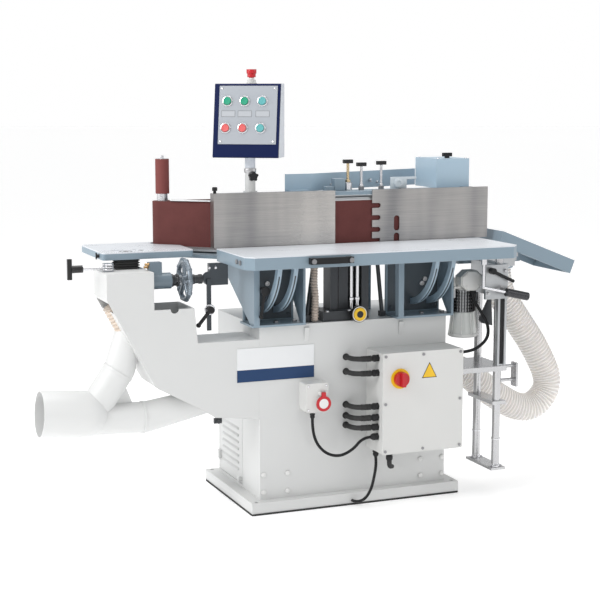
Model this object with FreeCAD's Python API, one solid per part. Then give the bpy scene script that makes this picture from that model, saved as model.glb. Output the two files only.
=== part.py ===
import FreeCAD, Part
import math
import os

os.makedirs("parts", exist_ok=True)

V = FreeCAD.Vector

# Oscillating edge belt sander with a contour roller and a small spindle sleeve.
# Frame: X to the right, Y to the back, Z up, origin on the floor under the middle of the base.
# All sizes are in millimetres.

# ---- driving dimensions ----
base_width = 770.0
base_depth = 486.0
skid_height = 6.0
plinth_top = 42.0
cabinet_inset_side = 40.0
cabinet_inset_front = 33.0
cabinet_top = 630.0
sheet = 4.0

table_top = 882.0
table_thickness = 42.0
table_left = -455.0
table_right = 525.0
table_depth = 294.0
table_corner_cut = 26.0

fence_face = -98.5
fence_height = 180.0
fence_plate = 5.0
fence_gap_left = -26.0
fence_gap_right = 113.0
fence_left_end = -462.0
fence_right_end = 565.0

belt_width = 150.0
belt_thickness = 1.5
belt_face = -92.0
drive_radius = 75.0
idler_radius = 30.0
contour_radius = 33.0
running_gap = 0.3

end_table_plate = 24.0
end_table_tilt = 21.4

outlet_diameter = 150.0
branch_diameter = 92.0
hose_diameter = 104.0

# ---- derived positions ----
cab_left = -base_width / 2 + cabinet_inset_side
cab_right = base_width / 2 - cabinet_inset_side
cab_front = -base_depth / 2 + cabinet_inset_front
cab_back = base_depth / 2 - cabinet_inset_front
table_bottom = table_top - table_thickness
table_rear = fence_face - 5.5
table_front = table_rear - table_depth
belt_bottom = table_top - 6.0
belt_top = belt_bottom + belt_width
roller_length = belt_width
belt_inner = belt_face + belt_thickness
roller_face = belt_inner + running_gap
drive_x = 440.0
drive_y = roller_face + drive_radius
idler_x = -345.0
idler_y = roller_face + idler_radius
contour_x = -565.0
contour_y = 140.0


# ---- shape helpers ----
def box(x0, x1, y0, y1, z0, z1):
    return Part.makeBox(x1 - x0, y1 - y0, z1 - z0, V(x0, y0, z0))


AXES = {"x": V(1, 0, 0), "y": V(0, 1, 0), "z": V(0, 0, 1)}


def rod(axis, x, y, z, radius, length):
    return Part.makeCylinder(radius, length, V(x, y, z), AXES[axis])


def taper(axis, x, y, z, r0, r1, length):
    return Part.makeCone(r0, r1, length, V(x, y, z), AXES[axis])


def join(shapes):
    whole = shapes[0].multiFuse(shapes[1:]) if len(shapes) > 1 else shapes[0]
    return whole.removeSplitter()


def cut(shape, tools):
    return shape.cut(Part.makeCompound(tools))


def prism(points, direction):
    wire = Part.makePolygon(points + [points[0]])
    return Part.Face(wire).extrude(direction)


def prism_z(points, z0, z1):
    return prism([V(x, y, z0) for x, y in points], V(0, 0, z1 - z0))


def prism_x(points, x0, x1):
    return prism([V(x0, y, z) for y, z in points], V(x1 - x0, 0, 0))


def prism_y(points, y0, y1):
    return prism([V(x, y0, z) for x, z in points], V(0, y1 - y0, 0))


def bar(a, b, radius):
    step = b - a
    return Part.makeCylinder(radius, step.Length, a, step)


def round_edges(shape, radius, axis):
    chosen = []
    for edge in shape.Edges:
        if edge.Curve.TypeId != "Part::GeomLine":
            continue
        along = edge.tangentAt(edge.FirstParameter)
        if abs(along.dot(AXES[axis])) > 0.999:
            chosen.append(edge)
    return shape.makeFillet(radius, chosen)


def save(name, shapes):
    solids = []
    for shape in shapes:
        solids.extend(shape.Solids)
    whole = solids[0] if len(solids) == 1 else Part.makeCompound(solids)
    whole.exportStep("parts/" + name + ".step")


def route(points, diameter, label):
    """A round tube of straight runs joined by tangent arcs."""
    places = [V(*p) for p in points]
    edges = []
    start = places[0]
    length = 0.0
    radii = []
    for i in range(1, len(places) - 1):
        before = places[i - 1] - places[i]
        after = places[i + 1] - places[i]
        turn = math.pi - before.getAngle(after)
        reach = 0.45 * min(before.Length, after.Length)
        radius = reach / math.tan(turn / 2)
        radii.append(round(radius / diameter, 1))
        before.normalize()
        after.normalize()
        first = places[i] + before * reach
        last = places[i] + after * reach
        middle_way = before + after
        middle_way.normalize()
        middle = places[i] + middle_way * (radius / math.cos(turn / 2) - radius)
        edges.append(Part.LineSegment(start, first).toShape())
        edges.append(Part.Arc(first, middle, last).toShape())
        length += (first - start).Length + radius * turn
        start = last
    edges.append(Part.LineSegment(start, places[-1]).toShape())
    length += (places[-1] - start).Length
    wire = Part.Wire(edges)
    ring = Part.Wire([Part.Circle(places[0], places[1] - places[0], diameter / 2).toShape()])
    tube = wire.makePipeShell([ring], True, False)
    wanted = math.pi * diameter ** 2 / 4 * length
    print(label, "length", round(length), "radii in diameters", radii,
          "volume ratio", round(tube.Volume / wanted, 4))
    return tube


# ---- base and cabinet ----
anchor_x = base_width / 2 - 20.0
anchor_y = base_depth / 2 - 14.0
anchor_radius = 7.0
anchor_holes = []
for sx in (-1, 1):
    for sy in (-1, 1):
        anchor_holes.append(rod("z", sx * anchor_x, sy * anchor_y, -1, anchor_radius,
                                plinth_top + 5))
skid = cut(
    box(-base_width / 2 - 2, base_width / 2 + 2, -base_depth / 2 - 2, base_depth / 2 + 2,
        0, skid_height),
    [box(-base_width / 2 + 34, base_width / 2 - 34, -base_depth / 2 + 30, base_depth / 2 - 30,
         -1, skid_height + 1)],
)
save("base_skid", [cut(round_edges(skid, 8.0, "z"), anchor_holes)])

plinth = cut(
    box(-base_width / 2, base_width / 2, -base_depth / 2, base_depth / 2,
        skid_height, plinth_top),
    [box(-base_width / 2 + sheet, base_width / 2 - sheet, -base_depth / 2 + sheet,
         base_depth / 2 - sheet, skid_height - 1, plinth_top - sheet)],
)
cabinet = cut(
    box(cab_left, cab_right, cab_front, cab_back, plinth_top - sheet, cabinet_top),
    [box(cab_left + sheet, cab_right - sheet, cab_front + sheet, cab_back - sheet,
         plinth_top, cabinet_top - sheet)],
)
cabinet = join([plinth, cabinet])
door_front = -37.0
door_back = 190.0
door_low = 54.0
door_high = 288.0
door_gap = 2.0
door_hole = box(cab_left - 1, cab_left + sheet + 1, door_front - door_gap, door_back + door_gap,
                door_low - door_gap, door_high + door_gap)
port_y = -70.0
port_z = 420.0
port_hole = rod("x", cab_right - sheet - 1, port_y, port_z, hose_diameter / 2 + 3, sheet + 2)
cabinet = cut(cabinet, anchor_holes + [door_hole, port_hole])
gussets = []
for gx in (-178.0, 170.0):
    gussets.append(prism_x([(cab_front + 0.5, cabinet_top - 12), (cab_front - 9, cabinet_top - 12),
                            (cab_front + 0.5, cabinet_top - 62)], gx - 8, gx + 8))
save("cabinet_shell", [join([cabinet] + gussets)])

vents = []
for row in range(7):
    vent_z = door_low + 40 + row * 24
    vents.append(box(cab_left - 5, cab_left + 5, 0.0, 160.0, vent_z, vent_z + 7))
door = cut(box(cab_left, cab_left + 3, door_front, door_back, door_low, door_high), vents)
door_hinge = []
for hz in (door_low + 40, door_high - 60):
    door_hinge.append(rod("z", cab_left - 6.3, door_back + 4, hz, 5.0, 30.0))
    door_hinge.append(box(cab_left - 11.3, cab_left, door_back - 14, door_back + 2, hz, hz + 30))
door_latch = rod("x", cab_left - 12, door_front + 14, door_low + 14, 9.0, 12.0)
save("side_door", [join([door, door_latch] + door_hinge)])

# ---- spindle arm and its pedestal ----
arm_back = -45.0
arm_wall = 5.0
step_top = 704.0
arm_top = 588.0
pedestal_left = -856.0
pedestal_right = -702.0
pedestal_top = 826.0
arm_outline = [(pedestal_left, 744), (pedestal_left, pedestal_top), (pedestal_right, pedestal_top),
               (pedestal_right, step_top), (-568, step_top), (-558, arm_top), (cab_left, arm_top),
               (cab_left, 320), (-500, 337), (-559, 375), (-690, 446), (-703, 456)]
arm = prism_y(arm_outline, cab_front, arm_back)
hollow = [box(pedestal_right + 6, -574, cab_front + arm_wall, arm_back - arm_wall, 520, step_top + 5),
          box(pedestal_left + 6, pedestal_right - 6, cab_front + arm_wall, arm_back - arm_wall,
              700, pedestal_top - 8),
          box(-556, cab_left - 8, cab_front + arm_wall, arm_back - arm_wall, 400, arm_top - 6),
          rod("y", -634, cab_front - 1, step_top, 14.0, arm_wall + 2)]
lift_x = -756.0
lift_y = -75.0
lift_r = 14.0
fit = 0.05
arm = cut(arm, hollow + [rod("z", lift_x, lift_y, 780, lift_r + fit, 60)])
save("spindle_arm", [arm])

# ---- dust manifold: one outlet, two branches ----
duct_y = (cab_front + arm_back) / 2
outlet_x = -1062.0
outlet_z = 379.0
outlet_r = outlet_diameter / 2
branch_r = branch_diameter / 2
wall = 3.0


def duct(a, b, r0, r1):
    step = b - a
    if abs(r0 - r1) < 0.01:
        return Part.makeCylinder(r0, step.Length, a, step)
    return Part.makeCone(r0, r1, step.Length, a, step)


mouth = V(outlet_x, duct_y, outlet_z)
shoulder = V(-912, duct_y, 368)
upper_root = V(-885, duct_y, 380)
upper_knee = V(-798, duct_y, 507)
arm_under = V(-758, duct_y, 646)
lower_root = V(-900, duct_y, 347)
lower_knee = V(-717, duct_y, 341)
right_under = V(-480, duct_y, 385)
knee_extra = 5.0
ring_width = 8.0
ring_high = 2.5


def manifold_form(inset):
    """The filled form of the manifold, made smaller on every side by inset."""
    big = outlet_r - inset
    knee = branch_r + knee_extra - inset
    forms = [duct(mouth - (shoulder - mouth) * (inset * 0.01), shoulder, big, big),
             Part.makeSphere(big, shoulder),
             duct(upper_root, upper_knee, knee, knee),
             Part.makeSphere(knee, upper_knee),
             duct(upper_knee, arm_under, knee, branch_r - inset),
             duct(lower_root, lower_knee, knee, knee),
             Part.makeSphere(knee, lower_knee),
             duct(lower_knee, right_under, knee, branch_r - 4 - inset)]
    return forms[0].multiFuse(forms[1:])


def joint_ring(end, start, back):
    """A raised ring round a branch, back millimetres before its end."""
    way = (start - end).normalize()
    return Part.makeCylinder(branch_r + knee_extra + ring_high, ring_width, end + way * back, way)


rings = [joint_ring(upper_knee, upper_root, 8.0), joint_ring(lower_knee, lower_root, 4.0)]
outside = manifold_form(0.0).multiFuse(rings)
web = prism_y([(-880, 385), (-800, 470), (-776, 440), (-757, 392), (-800, 375)], duct_y - 2, duct_y + 2)
manifold = outside.fuse(web).cut(manifold_form(wall))
manifold = manifold.cut(prism_y(arm_outline, cab_front - 1, arm_back + 1))
manifold = max(manifold.Solids, key=lambda solid: solid.Volume)
cuff_length = 62.0
cuff_r = hose_diameter / 2 + 6
cuff = join([rod("x", cab_right, port_y, port_z, cuff_r + 6, 6.0),
             rod("x", cab_right, port_y, port_z, cuff_r, cuff_length)])
cuff = cut(cuff, [rod("x", cab_right - 1, port_y, port_z, hose_diameter / 2 - 5, 25.0),
                  rod("x", cab_right + 20, port_y, port_z, hose_diameter / 2 + running_gap, cuff_length)])
save("dust_fittings", [manifold, cuff])

# ---- table housings on the cabinet top, with the quarter arc guides ----
housing_front = -232.0
housing_back = -30.0
housing_wall = 8.0
left_cheek_back = 124.0
cheek_tip = 12.0
cheek_foot = 26.0
arc_centre_y = fence_face
arc_radius = 212.0
arc_depth = 22.0


def cheek(x0, back):
    slope = [(housing_front, cabinet_top), (housing_front, table_bottom), (back, table_bottom),
             (back, table_bottom - cheek_tip), (housing_front + cheek_foot, cabinet_top)]
    return prism_x(slope, x0, x0 + housing_wall)


def housing(x0, x1, left_back):
    cheeks = [cheek(x0, left_back), cheek(x1 - housing_wall, housing_back)]
    top = box(x0, x1, housing_front, housing_back, table_bottom - 8, table_bottom)
    foot = box(x0 - 6, x1 + 1, housing_front, cab_front + 96, cabinet_top, cabinet_top + 7)
    lip_left = box(x0, x0 + 20, housing_front, housing_front + 6, cabinet_top, table_bottom)
    bulkhead = box(x0 + 1, x1 - 1, cab_front + 84, cab_front + 92, cabinet_top + 1, table_bottom - 1)
    body = join(cheeks + [top, foot, lip_left, bulkhead])
    return body


def arc_rail(x0, width):
    outer = Part.makeCylinder(arc_radius + arc_depth / 2, width, V(x0, arc_centre_y, table_top), V(1, 0, 0))
    inner = Part.makeCylinder(arc_radius - arc_depth / 2, width + 2,
                              V(x0 - 1, arc_centre_y, table_top), V(1, 0, 0))
    ring_body = outer.cut(inner)
    keep = box(x0 - 1, x0 + width + 1, arc_centre_y - 400, cab_front + 84 - 0.5,
               cabinet_top + 7.5, table_bottom - 8)
    return ring_body.common(keep)


left_x0 = -372.0
left_x1 = -190.0
right_x0 = 152.0
right_x1 = 362.0
save("table_housings", [housing(left_x0, left_x1, left_cheek_back),
                        housing(right_x0, right_x1, housing_front + cheek_foot + 4)])
rails = []
for rail_x in (left_x0 + 52, left_x0 + 108, right_x0 + 96, right_x0 + 158):
    rails.append(arc_rail(rail_x, 15.0))
save("arc_rails", rails)

# ---- main table ----
cc = table_corner_cut
table = prism_z([(table_left, table_rear), (table_left, table_front + cc), (table_left + cc, table_front),
                 (table_right - cc, table_front), (table_right, table_front + cc),
                 (table_right, table_rear)], table_bottom, table_top)
under = []
for bay in range(4):
    bay_x = table_left + 150 + bay * 178
    under.append(box(bay_x + 6, bay_x + 160, table_front + 24, housing_front - 12,
                     table_bottom - 1, table_top - 16))
save("main_table", [cut(table, under)])
handle_left = -248.0
handle_right = -100.0
handle_z = table_top - 19.0
grip = join([box(handle_left, handle_right, table_front - 22, table_front - 10,
                 handle_z - 10, handle_z + 10),
             box(handle_left, handle_left + 18, table_front - 11, table_front, handle_z - 10, handle_z + 10),
             box(handle_right - 18, handle_right, table_front - 11, table_front,
                 handle_z - 10, handle_z + 10)])
save("table_handle", [grip])

# ---- centre column, braces and the position indicator ----
column_y = cab_front + 62
column_top = table_bottom
column = join([
    box(-112, -9, cab_front + 12, cab_front + 112, cabinet_top, cabinet_top + 34),
    box(-78, -50, column_y - 30, column_y + 30, cabinet_top + 30, column_top),
    box(-46, -12, column_y - 26, column_y + 30, cabinet_top + 30, column_top),
    box(40, 66, column_y - 26, column_y + 30, cabinet_top, column_top),
    box(-12, 41, column_y + 6, column_y + 14, cabinet_top, column_top),
    rod("z", 6, column_y - 12, cabinet_top, 7.0, column_top - cabinet_top),
    rod("z", 30, column_y - 12, cabinet_top, 7.0, column_top - cabinet_top),
])
braces = [
    bar(V(-134, cab_front + 40, table_bottom - 6), V(-160, cab_front + 40, cabinet_top + 14), 8.0),
    bar(V(-118, cab_front + 70, table_bottom - 6), V(-106, cab_front + 132, cabinet_top + 8), 6.0),
    bar(V(112, cab_front + 70, table_bottom - 6), V(128, cab_front + 60, cabinet_top + 10), 7.0),
]
brace_feet = [
    box(-174, -146, cab_front + 28, cab_front + 52, cabinet_top, cabinet_top + 22),
    box(-116, -96, cab_front + 122, cab_front + 142, cabinet_top, cabinet_top + 16),
    box(118, 138, cab_front + 50, cab_front + 70, cabinet_top, cabinet_top + 18),
]
brace_tops = [
    box(-144, -124, cab_front + 30, cab_front + 50, table_bottom - 14, table_bottom),
    box(-128, -108, cab_front + 60, cab_front + 80, table_bottom - 14, table_bottom),
    box(102, 122, cab_front + 60, cab_front + 80, table_bottom - 14, table_bottom),
]
frames = []
for stem, foot, top in zip(braces, brace_feet, brace_tops):
    frames.append(join([stem, foot, top]))
save("lift_column", [column] + frames)
knob_z = cabinet_top + 24
knob_x = 7.0
knob_y = cab_front + 12
index_knob = join([rod("y", knob_x, knob_y - 34, knob_z, 28.0, 16.0),
                   rod("y", knob_x, knob_y - 38, knob_z, 22.0, 6.0),
                   rod("y", knob_x, knob_y - 20, knob_z, 10.0, 19.7)])
save("index_knob", [index_knob])
knob_stand = join([box(knob_x - 14, knob_x + 14, knob_y, knob_y + 10, cabinet_top, knob_z + 12)])

# ---- electrical box and controls on the cabinet front ----
box_left = 44.0
box_right = 344.0
box_front = -340.0
box_low = 190.0
box_high = 533.0
electrical = cut(box(box_left, box_right, box_front + 6, cab_front, box_low, box_high),
                 [box(box_left + 3, box_right - 3, box_front + 5, cab_front - 3, box_low + 3, box_high - 3)])
save("electrical_box", [round_edges(electrical, 2.0, "y")])
lid = box(box_left - 1, box_right + 1, box_front, box_front + 6, box_low - 1, box_high + 1)
lid = round_edges(lid, 5.0, "y")
switch_x = 107.0
switch_z = 446.0
shaft_hole = rod("y", switch_x, box_front - 1, switch_z, 6.3, 8.0)
lid_screws = []
for lx in (box_left + 10, (box_left + box_right) / 2, box_right - 10):
    for lz in (box_low + 10, (box_low + box_high) / 2, box_high - 10):
        if lx == (box_left + box_right) / 2 and lz == (box_low + box_high) / 2:
            continue
        lid_screws.append(rod("y", lx, box_front - 2.5, lz, 5.0, 2.5))
save("electrical_box_lid", [lid.cut(shaft_hole)])
switch_plate = rod("y", switch_x, box_front - 3, switch_z, 34.0, 3.0)
switch_plate = switch_plate.cut(rod("y", switch_x, box_front - 4, switch_z, 6.3, 5.0))
switch_knob = join([rod("y", switch_x, box_front - 21, switch_z, 25.0, 17.7),
                    box(switch_x - 7, switch_x + 7, box_front - 33, box_front - 20,
                        switch_z - 24, switch_z + 24),
                    rod("y", switch_x, box_front - 12, switch_z, 6.0, 20.0)])
save("main_switch_knob", [switch_knob])
plate_left = -424.0
plate_right = -151.0
name_plate = prism_y([(plate_left, 448), (plate_right, 448), (plate_right, 560), (plate_left, 560)],
                     cab_front - 2, cab_front)
save("plates", [name_plate, switch_plate])
gland_heights = [514.0, 464.0, 350.0, 312.0, 279.0, 246.0]
glands = []
gland_y = box_front + 38
for gz in gland_heights:
    glands.append(join([rod("x", box_left - 8, gland_y, gz, 13.0, 8.0),
                        rod("x", box_left - 26, gland_y, gz, 10.0, 19.0)]))
elbow = join([rod("z", 86, box_front + 34, box_low - 12, 13.0, 12.0),
              rod("z", 86, box_front + 34, box_low - 34, 10.0, 23.0)])
floor_gland = join([rod("z", 52, box_front + 70, box_low - 10, 11.0, 10.0),
                    rod("z", 52, box_front + 70, box_low - 22, 8.5, 13.0)])
inlet_gland = join([rod("z", -171, cab_front - 36, 313, 9.0, 18.0)])
save("cable_glands", glands + [elbow, floor_gland, inlet_gland])

cable = 10.0
control = []
for index, gz in enumerate(gland_heights[:5]):
    control.append(route([(box_left - 26, gland_y, gz), (box_left - 62, gland_y, gz),
                          (box_left - 78, gland_y + 50, gz - 6), (box_left - 78, cab_front, gz - 6)],
                         cable, "control cable " + str(index + 1)))
save("control_cables", control)
supply_points = [(box_left - 26, gland_y, gland_heights[5]), (box_left - 56, gland_y, gland_heights[5]),
                 (box_left - 92, gland_y + 2, 206), (box_left - 144, gland_y + 8, 186),
                 (box_left - 190, gland_y + 30, 204), (-171, cab_front - 36, 256),
                 (-171, cab_front - 36, 313)]
supply = route(supply_points, cable, "supply cable")
save("supply_cable", [supply])
floor_points = [(52, box_front + 70, box_low - 22), (52, box_front + 70, 140), (48, -290, 104),
                (36, -306, 66), (14, -310, 34), (-12, -281, 20), (-12, -base_depth / 2, 20)]
floor_cable = route(floor_points, cable, "floor cable")
save("floor_cable", [floor_cable])

# ---- mains inlet ----
inlet_left = -204.0
inlet_right = -124.0
inlet_low = 340.0
inlet_high = 438.0
inlet_front = cab_front - 62.0
inlet_box = round_edges(box(inlet_left, inlet_right, inlet_front, cab_front, inlet_low, inlet_high), 6.0, "y")
cap_x = -146.0
cap_z = 370.0
socket = rod("y", cap_x, inlet_front - 8, cap_z, 24.0, 10.0).cut(
    rod("y", cap_x, inlet_front - 9, cap_z, 19.0, 9.0))
ears = [box(cap_x - 14, cap_x - 8, inlet_front - 10, inlet_front + 1, cap_z + 28, cap_z + 40),
        box(cap_x + 8, cap_x + 14, inlet_front - 10, inlet_front + 1, cap_z + 28, cap_z + 40)]
save("inlet_box", [join([inlet_box, socket] + ears)])
flap = join([rod("y", cap_x, inlet_front - 13.3, cap_z, 26.0, 5.0),
             box(cap_x - 7.5, cap_x + 7.5, inlet_front - 13.3, inlet_front - 8.6, cap_z + 20, cap_z + 38),
             rod("x", cap_x - 7.5, inlet_front - 6, cap_z + 34, 4.0, 15.0)])
flap = flap.cut(rod("y", cap_x, inlet_front - 8.4, cap_z, 24.3, 10.0))
save("inlet_flap", [flap])

# ---- gear motor beside the right housing ----
motor_x = 414.0
motor_y = -205.0
term_low = 716.0
term_high = 788.0
octagon = [(math.cos(math.radians(22.5 + 45 * k)) * 46, math.sin(math.radians(22.5 + 45 * k)) * 42)
           for k in range(8)]
terminal = prism_y([(motor_x + ox, (term_low + term_high) / 2 + oz * 0.9) for ox, oz in octagon],
                   motor_y - 62, motor_y - 20)
ribs = [rod("z", motor_x, motor_y, 638, 36.0, 86.0)]
for k in range(7):
    ribs.append(rod("z", motor_x, motor_y, 644 + k * 11, 40.0, 5.0))
bracket = box(cab_right + 17.5, motor_x, motor_y - 30, motor_y + 30, 722, 730)
bracket_side = box(right_x1, right_x1 + 8, motor_y - 26, motor_y + 40, 690, 760)
fan_cover = taper("z", motor_x, motor_y, 554, 50.0, 40.0, 84.0)
save("gear_motor", [join(ribs + [bracket, bracket_side, terminal, fan_cover,
                                 box(motor_x - 20, motor_x + 20, motor_y - 34, motor_y, 722, 760)])])
terminal_flat = (term_low + term_high) / 2 + octagon[5][1] * 0.9
motor_points = [(motor_x + 8, motor_y - 51, terminal_flat), (motor_x + 8, motor_y - 51, 690),
                (446, -268, 648), (472, -282, 600), (468, -290, 552), (426, -292, 520),
                (384, -292, 510), (box_right, -292, 510)]
motor_cable = route(motor_points, 11.0, "motor cable")
save("motor_cable", [motor_cable])

# ---- right stand and its sliding head ----
column_x = 498.0
column_r = 14.0
front_col_y = -302.0
rear_col_y = -165.0
shelf_z = 440.0
stand = [rod("z", column_x, front_col_y, 96, column_r, table_bottom - 96),
         rod("z", column_x, rear_col_y, 96, column_r, table_bottom - 96),
         box(column_x - 28, column_x + 28, front_col_y - 22, rear_col_y + 22, 90, 98),
         box(cab_right, column_x + 26, front_col_y + 100, rear_col_y + 24, shelf_z, shelf_z + 18),
         box(cab_right + 2, column_x + 26, front_col_y - 22, rear_col_y + 24, shelf_z, shelf_z + 18),
         box(column_x - 26, column_x + 26, front_col_y - 20, rear_col_y + 20, 322, 334),
         rod("x", column_x + 20, front_col_y + 12, shelf_z + 9, 6.0, 60.0),
         rod("x", column_x, front_col_y + 12, 400, 6.0, 84.0),
         box(column_x + 74, column_x + 82, front_col_y - 6, front_col_y + 30, 376, 460)]
save("stand_columns", [join(stand)])

head_low = 700.0
head_high = 812.0
pivot_x = 655.0
head_gap = 8.0
pivot_z = table_top - 36.0
head = join([
    box(column_x - 22, column_x + 24, front_col_y - 20, rear_col_y + 20, head_low, head_high),
    box(column_x - 68, column_x + 18, front_col_y - 32, front_col_y - 20, head_low - 6, head_high),
    box(column_x + 20, pivot_x - 12, rear_col_y + 2, rear_col_y + 42, head_high - 30, head_high),
    box(table_right + head_gap, pivot_x + 8, rear_col_y + 24, rear_col_y + 52, head_high - 14, head_high + 10),
    prism_y([(pivot_x - 24, head_high), (pivot_x + 14, head_high), (pivot_x + 14, pivot_z),
             (pivot_x - 14, pivot_z)], rear_col_y + 24, rear_col_y + 52),
    rod("y", pivot_x, rear_col_y + 24, pivot_z, 20.0, 28.0),
    box(column_x - 18, column_x - 10, front_col_y - 32, front_col_y - 16.5, shelf_z + 22, head_low),
    box(column_x + 8, column_x + 16, front_col_y - 32, front_col_y - 16.5, shelf_z + 22, head_low),
    box(column_x - 11, column_x + 9, front_col_y - 26, front_col_y - 18.5, shelf_z + 22, head_low),
])
head = cut(head, [rod("z", column_x, front_col_y, head_low - 10, column_r + fit, 200),
                  rod("z", column_x, rear_col_y, head_low - 10, column_r + fit, 200),
                  rod("y", pivot_x, rear_col_y + 20, pivot_z, 8.0 + fit, 40)])
save("stand_slide", [head])
clamp_x = column_x - 48
clamp_z = 792.0
clamp_y = front_col_y - 32
stand_clamp = join([rod("y", clamp_x, clamp_y - 20, clamp_z, 11.0, 19.7),
                    bar(V(clamp_x, clamp_y - 13, clamp_z), V(clamp_x + 74, clamp_y - 20, clamp_z - 36), 5.5),
                    Part.makeSphere(6.0, V(clamp_x + 74, clamp_y - 20, clamp_z - 36))])
save("stand_clamp_lever", [stand_clamp])
lock_x = 400.0
lock_y = -372.0
lock_low = 742.0
elbow_at = V(lock_x, lock_y, lock_low)
lock_way = V(math.cos(math.radians(13)), 0, -math.sin(math.radians(13)))
lock = join([rod("z", lock_x, lock_y, lock_low, 5.0, table_bottom - lock_low - 8),
             rod("z", lock_x, lock_y, table_bottom - 20, 10.0, 19.5),
             Part.makeSphere(5.6, elbow_at),
             bar(elbow_at, elbow_at + lock_way * 96, 5.0),
             bar(elbow_at + lock_way * 90, elbow_at + lock_way * 176, 14.0)])
save("lock_handle", [lock])

# ---- right end table, a ribbed tray tilting on a pin ----
tray_left = 585.0
tray_length = 320.0
tray_front = -150.0
tray_back = 100.0
skirt = 50.0
tray = cut(box(tray_left, tray_left + tray_length, tray_front, tray_back, table_top - skirt, table_top),
           [box(tray_left + 8, tray_left + tray_length - 8, tray_front + 8, tray_back - 8,
                table_top - skirt - 1, table_top - 10)])
tray = join([tray, rod("y", pivot_x, tray_front + 4, pivot_z, 8.0, tray_back - tray_front - 8)])
tray.rotate(V(pivot_x, 0, pivot_z), V(0, 1, 0), end_table_tilt)
save("right_end_table", [tray])

# ---- belt unit ----
unit_low = table_bottom + 2
unit_high = unit_low + 12
bar_low = belt_top + 19
bar_high = bar_low + 12
post_r = 18.0
post_y = -26.0
left_post_x = -230.0
right_post_x = 290.0
unit_plate = prism_z([(-410, -90), (520, -90), (520, 70), (-500, 186), (-600, 186), (-600, 96)],
                     unit_low, unit_high)
pedestal = box(62, 158, 5, 95, cabinet_top, unit_low)
posts = [rod("z", left_post_x, post_y, unit_low, post_r, bar_low - unit_low + 2),
         rod("z", right_post_x, post_y, unit_low, post_r, bar_low - unit_low + 2)]
top_bar = box(-440, 520, -92.5, 0, bar_low, bar_high)
hood_z = 790.0
hose_end_x = 634.0
hose_end_y = -50.0
hood = [box(450, 700, -102, 20, hood_z, hood_z + 32), box(450, 518, -90, 5, hood_z + 30, unit_low)]
hood_collar = rod("z", hose_end_x, hose_end_y, hood_z - 24, hose_diameter / 2 + 7, 25)
hood_inside = [box(453, 697, -99, 17, hood_z + 3, hood_z + 29),
               rod("z", hose_end_x, hose_end_y, hood_z - 25, hose_diameter / 2 + running_gap, 24.0),
               rod("z", hose_end_x, hose_end_y, hood_z - 2, hose_diameter / 2 - 5, 8)]
unit = cut(join([unit_plate, pedestal, top_bar, hood_collar] + posts + hood), hood_inside)
boss = rod("z", 50, -32, bar_high, 12.0, 28.0).cut(rod("z", 50, -32, bar_high + 8, 5.0 + fit, 30))
save("unit_frame", [join([unit, boss])])


def tangent_normal(first, second):
    ax, ay, ar = first
    bx, by, br = second
    gap = math.hypot(bx - ax, by - ay)
    ux = (bx - ax) / gap
    uy = (by - ay) / gap
    lean = (ar - br) / gap
    side = math.sqrt(1 - lean * lean)
    return V(ux * lean + uy * side, uy * lean - ux * side, 0)


def loop_prism(pulleys, extra, z0, z1):
    """The outline a belt takes round the pulleys, with each radius made larger by extra."""
    rounds = [(x, y, r + extra) for x, y, r in pulleys]
    count = len(rounds)
    normals = [tangent_normal(rounds[i], rounds[(i + 1) % count]) for i in range(count)]
    edges = []
    for i in range(count):
        x, y, r = rounds[i]
        nx, ny, nr = rounds[(i + 1) % count]
        centre = V(x, y, z0)
        arrive = centre + normals[i - 1] * r
        leave = centre + normals[i] * r
        half = normals[i - 1] + normals[i]
        half.normalize()
        edges.append(Part.Arc(arrive, centre + half * r, leave).toShape())
        edges.append(Part.LineSegment(leave, V(nx, ny, z0) + normals[i] * nr).toShape())
    return Part.Face(Part.Wire(edges)).extrude(V(0, 0, z1 - z0))


pulleys = [(drive_x, drive_y, drive_radius), (contour_x, contour_y, contour_radius),
           (idler_x, idler_y, idler_radius)]
outer = loop_prism(pulleys, running_gap + belt_thickness, belt_bottom, belt_top)
inner = loop_prism(pulleys, running_gap, belt_bottom - 1, belt_top + 1)
save("sanding_belt", [outer.cut(inner)])

axle_r = 12.0
idler_axle_r = 9.0
carriage_low = unit_high + 6
lower_plate = loop_prism([(drive_x, drive_y, 40), (contour_x, contour_y, 20), (idler_x, idler_y, 20)],
                         0, carriage_low, carriage_low + 8)
upper_plate = prism_z([(-372, -84), (drive_x + 30, -84), (drive_x + 30, 20), (-372, 20)],
                      belt_top + 4, belt_top + 10)
web = box(-300, 350, -64, -54, carriage_low + 6, belt_top + 5)
platen = box(-290, 370, belt_inner + running_gap, -63, belt_bottom + 4, belt_top + 5)
carriage = join([lower_plate, upper_plate, web, platen,
                 rod("z", drive_x, drive_y, carriage_low + 2, axle_r, belt_top + 6 - carriage_low),
                 rod("z", idler_x, idler_y, carriage_low + 2, idler_axle_r, belt_top + 6 - carriage_low),
                 rod("z", contour_x, contour_y, carriage_low + 2, axle_r, 140)])
carriage = cut(carriage, [rod("z", left_post_x, post_y, carriage_low - 5, post_r + fit, 300),
                          rod("z", right_post_x, post_y, carriage_low - 5, post_r + fit, 300)])
save("belt_carriage", [carriage])
drive = rod("z", drive_x, drive_y, belt_bottom, drive_radius, roller_length)
drive = drive.cut(rod("z", drive_x, drive_y, belt_bottom - 1, axle_r + fit, roller_length + 2))
save("drive_roller", [drive])
idler = rod("z", idler_x, idler_y, belt_bottom, idler_radius, roller_length)
idler = idler.cut(rod("z", idler_x, idler_y, belt_bottom - 1, idler_axle_r + fit, roller_length + 2))
save("front_idler", [idler])
sleeve_r = 23.5
sleeve_low = belt_top + 25
sleeve_high = sleeve_low + 118
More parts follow.
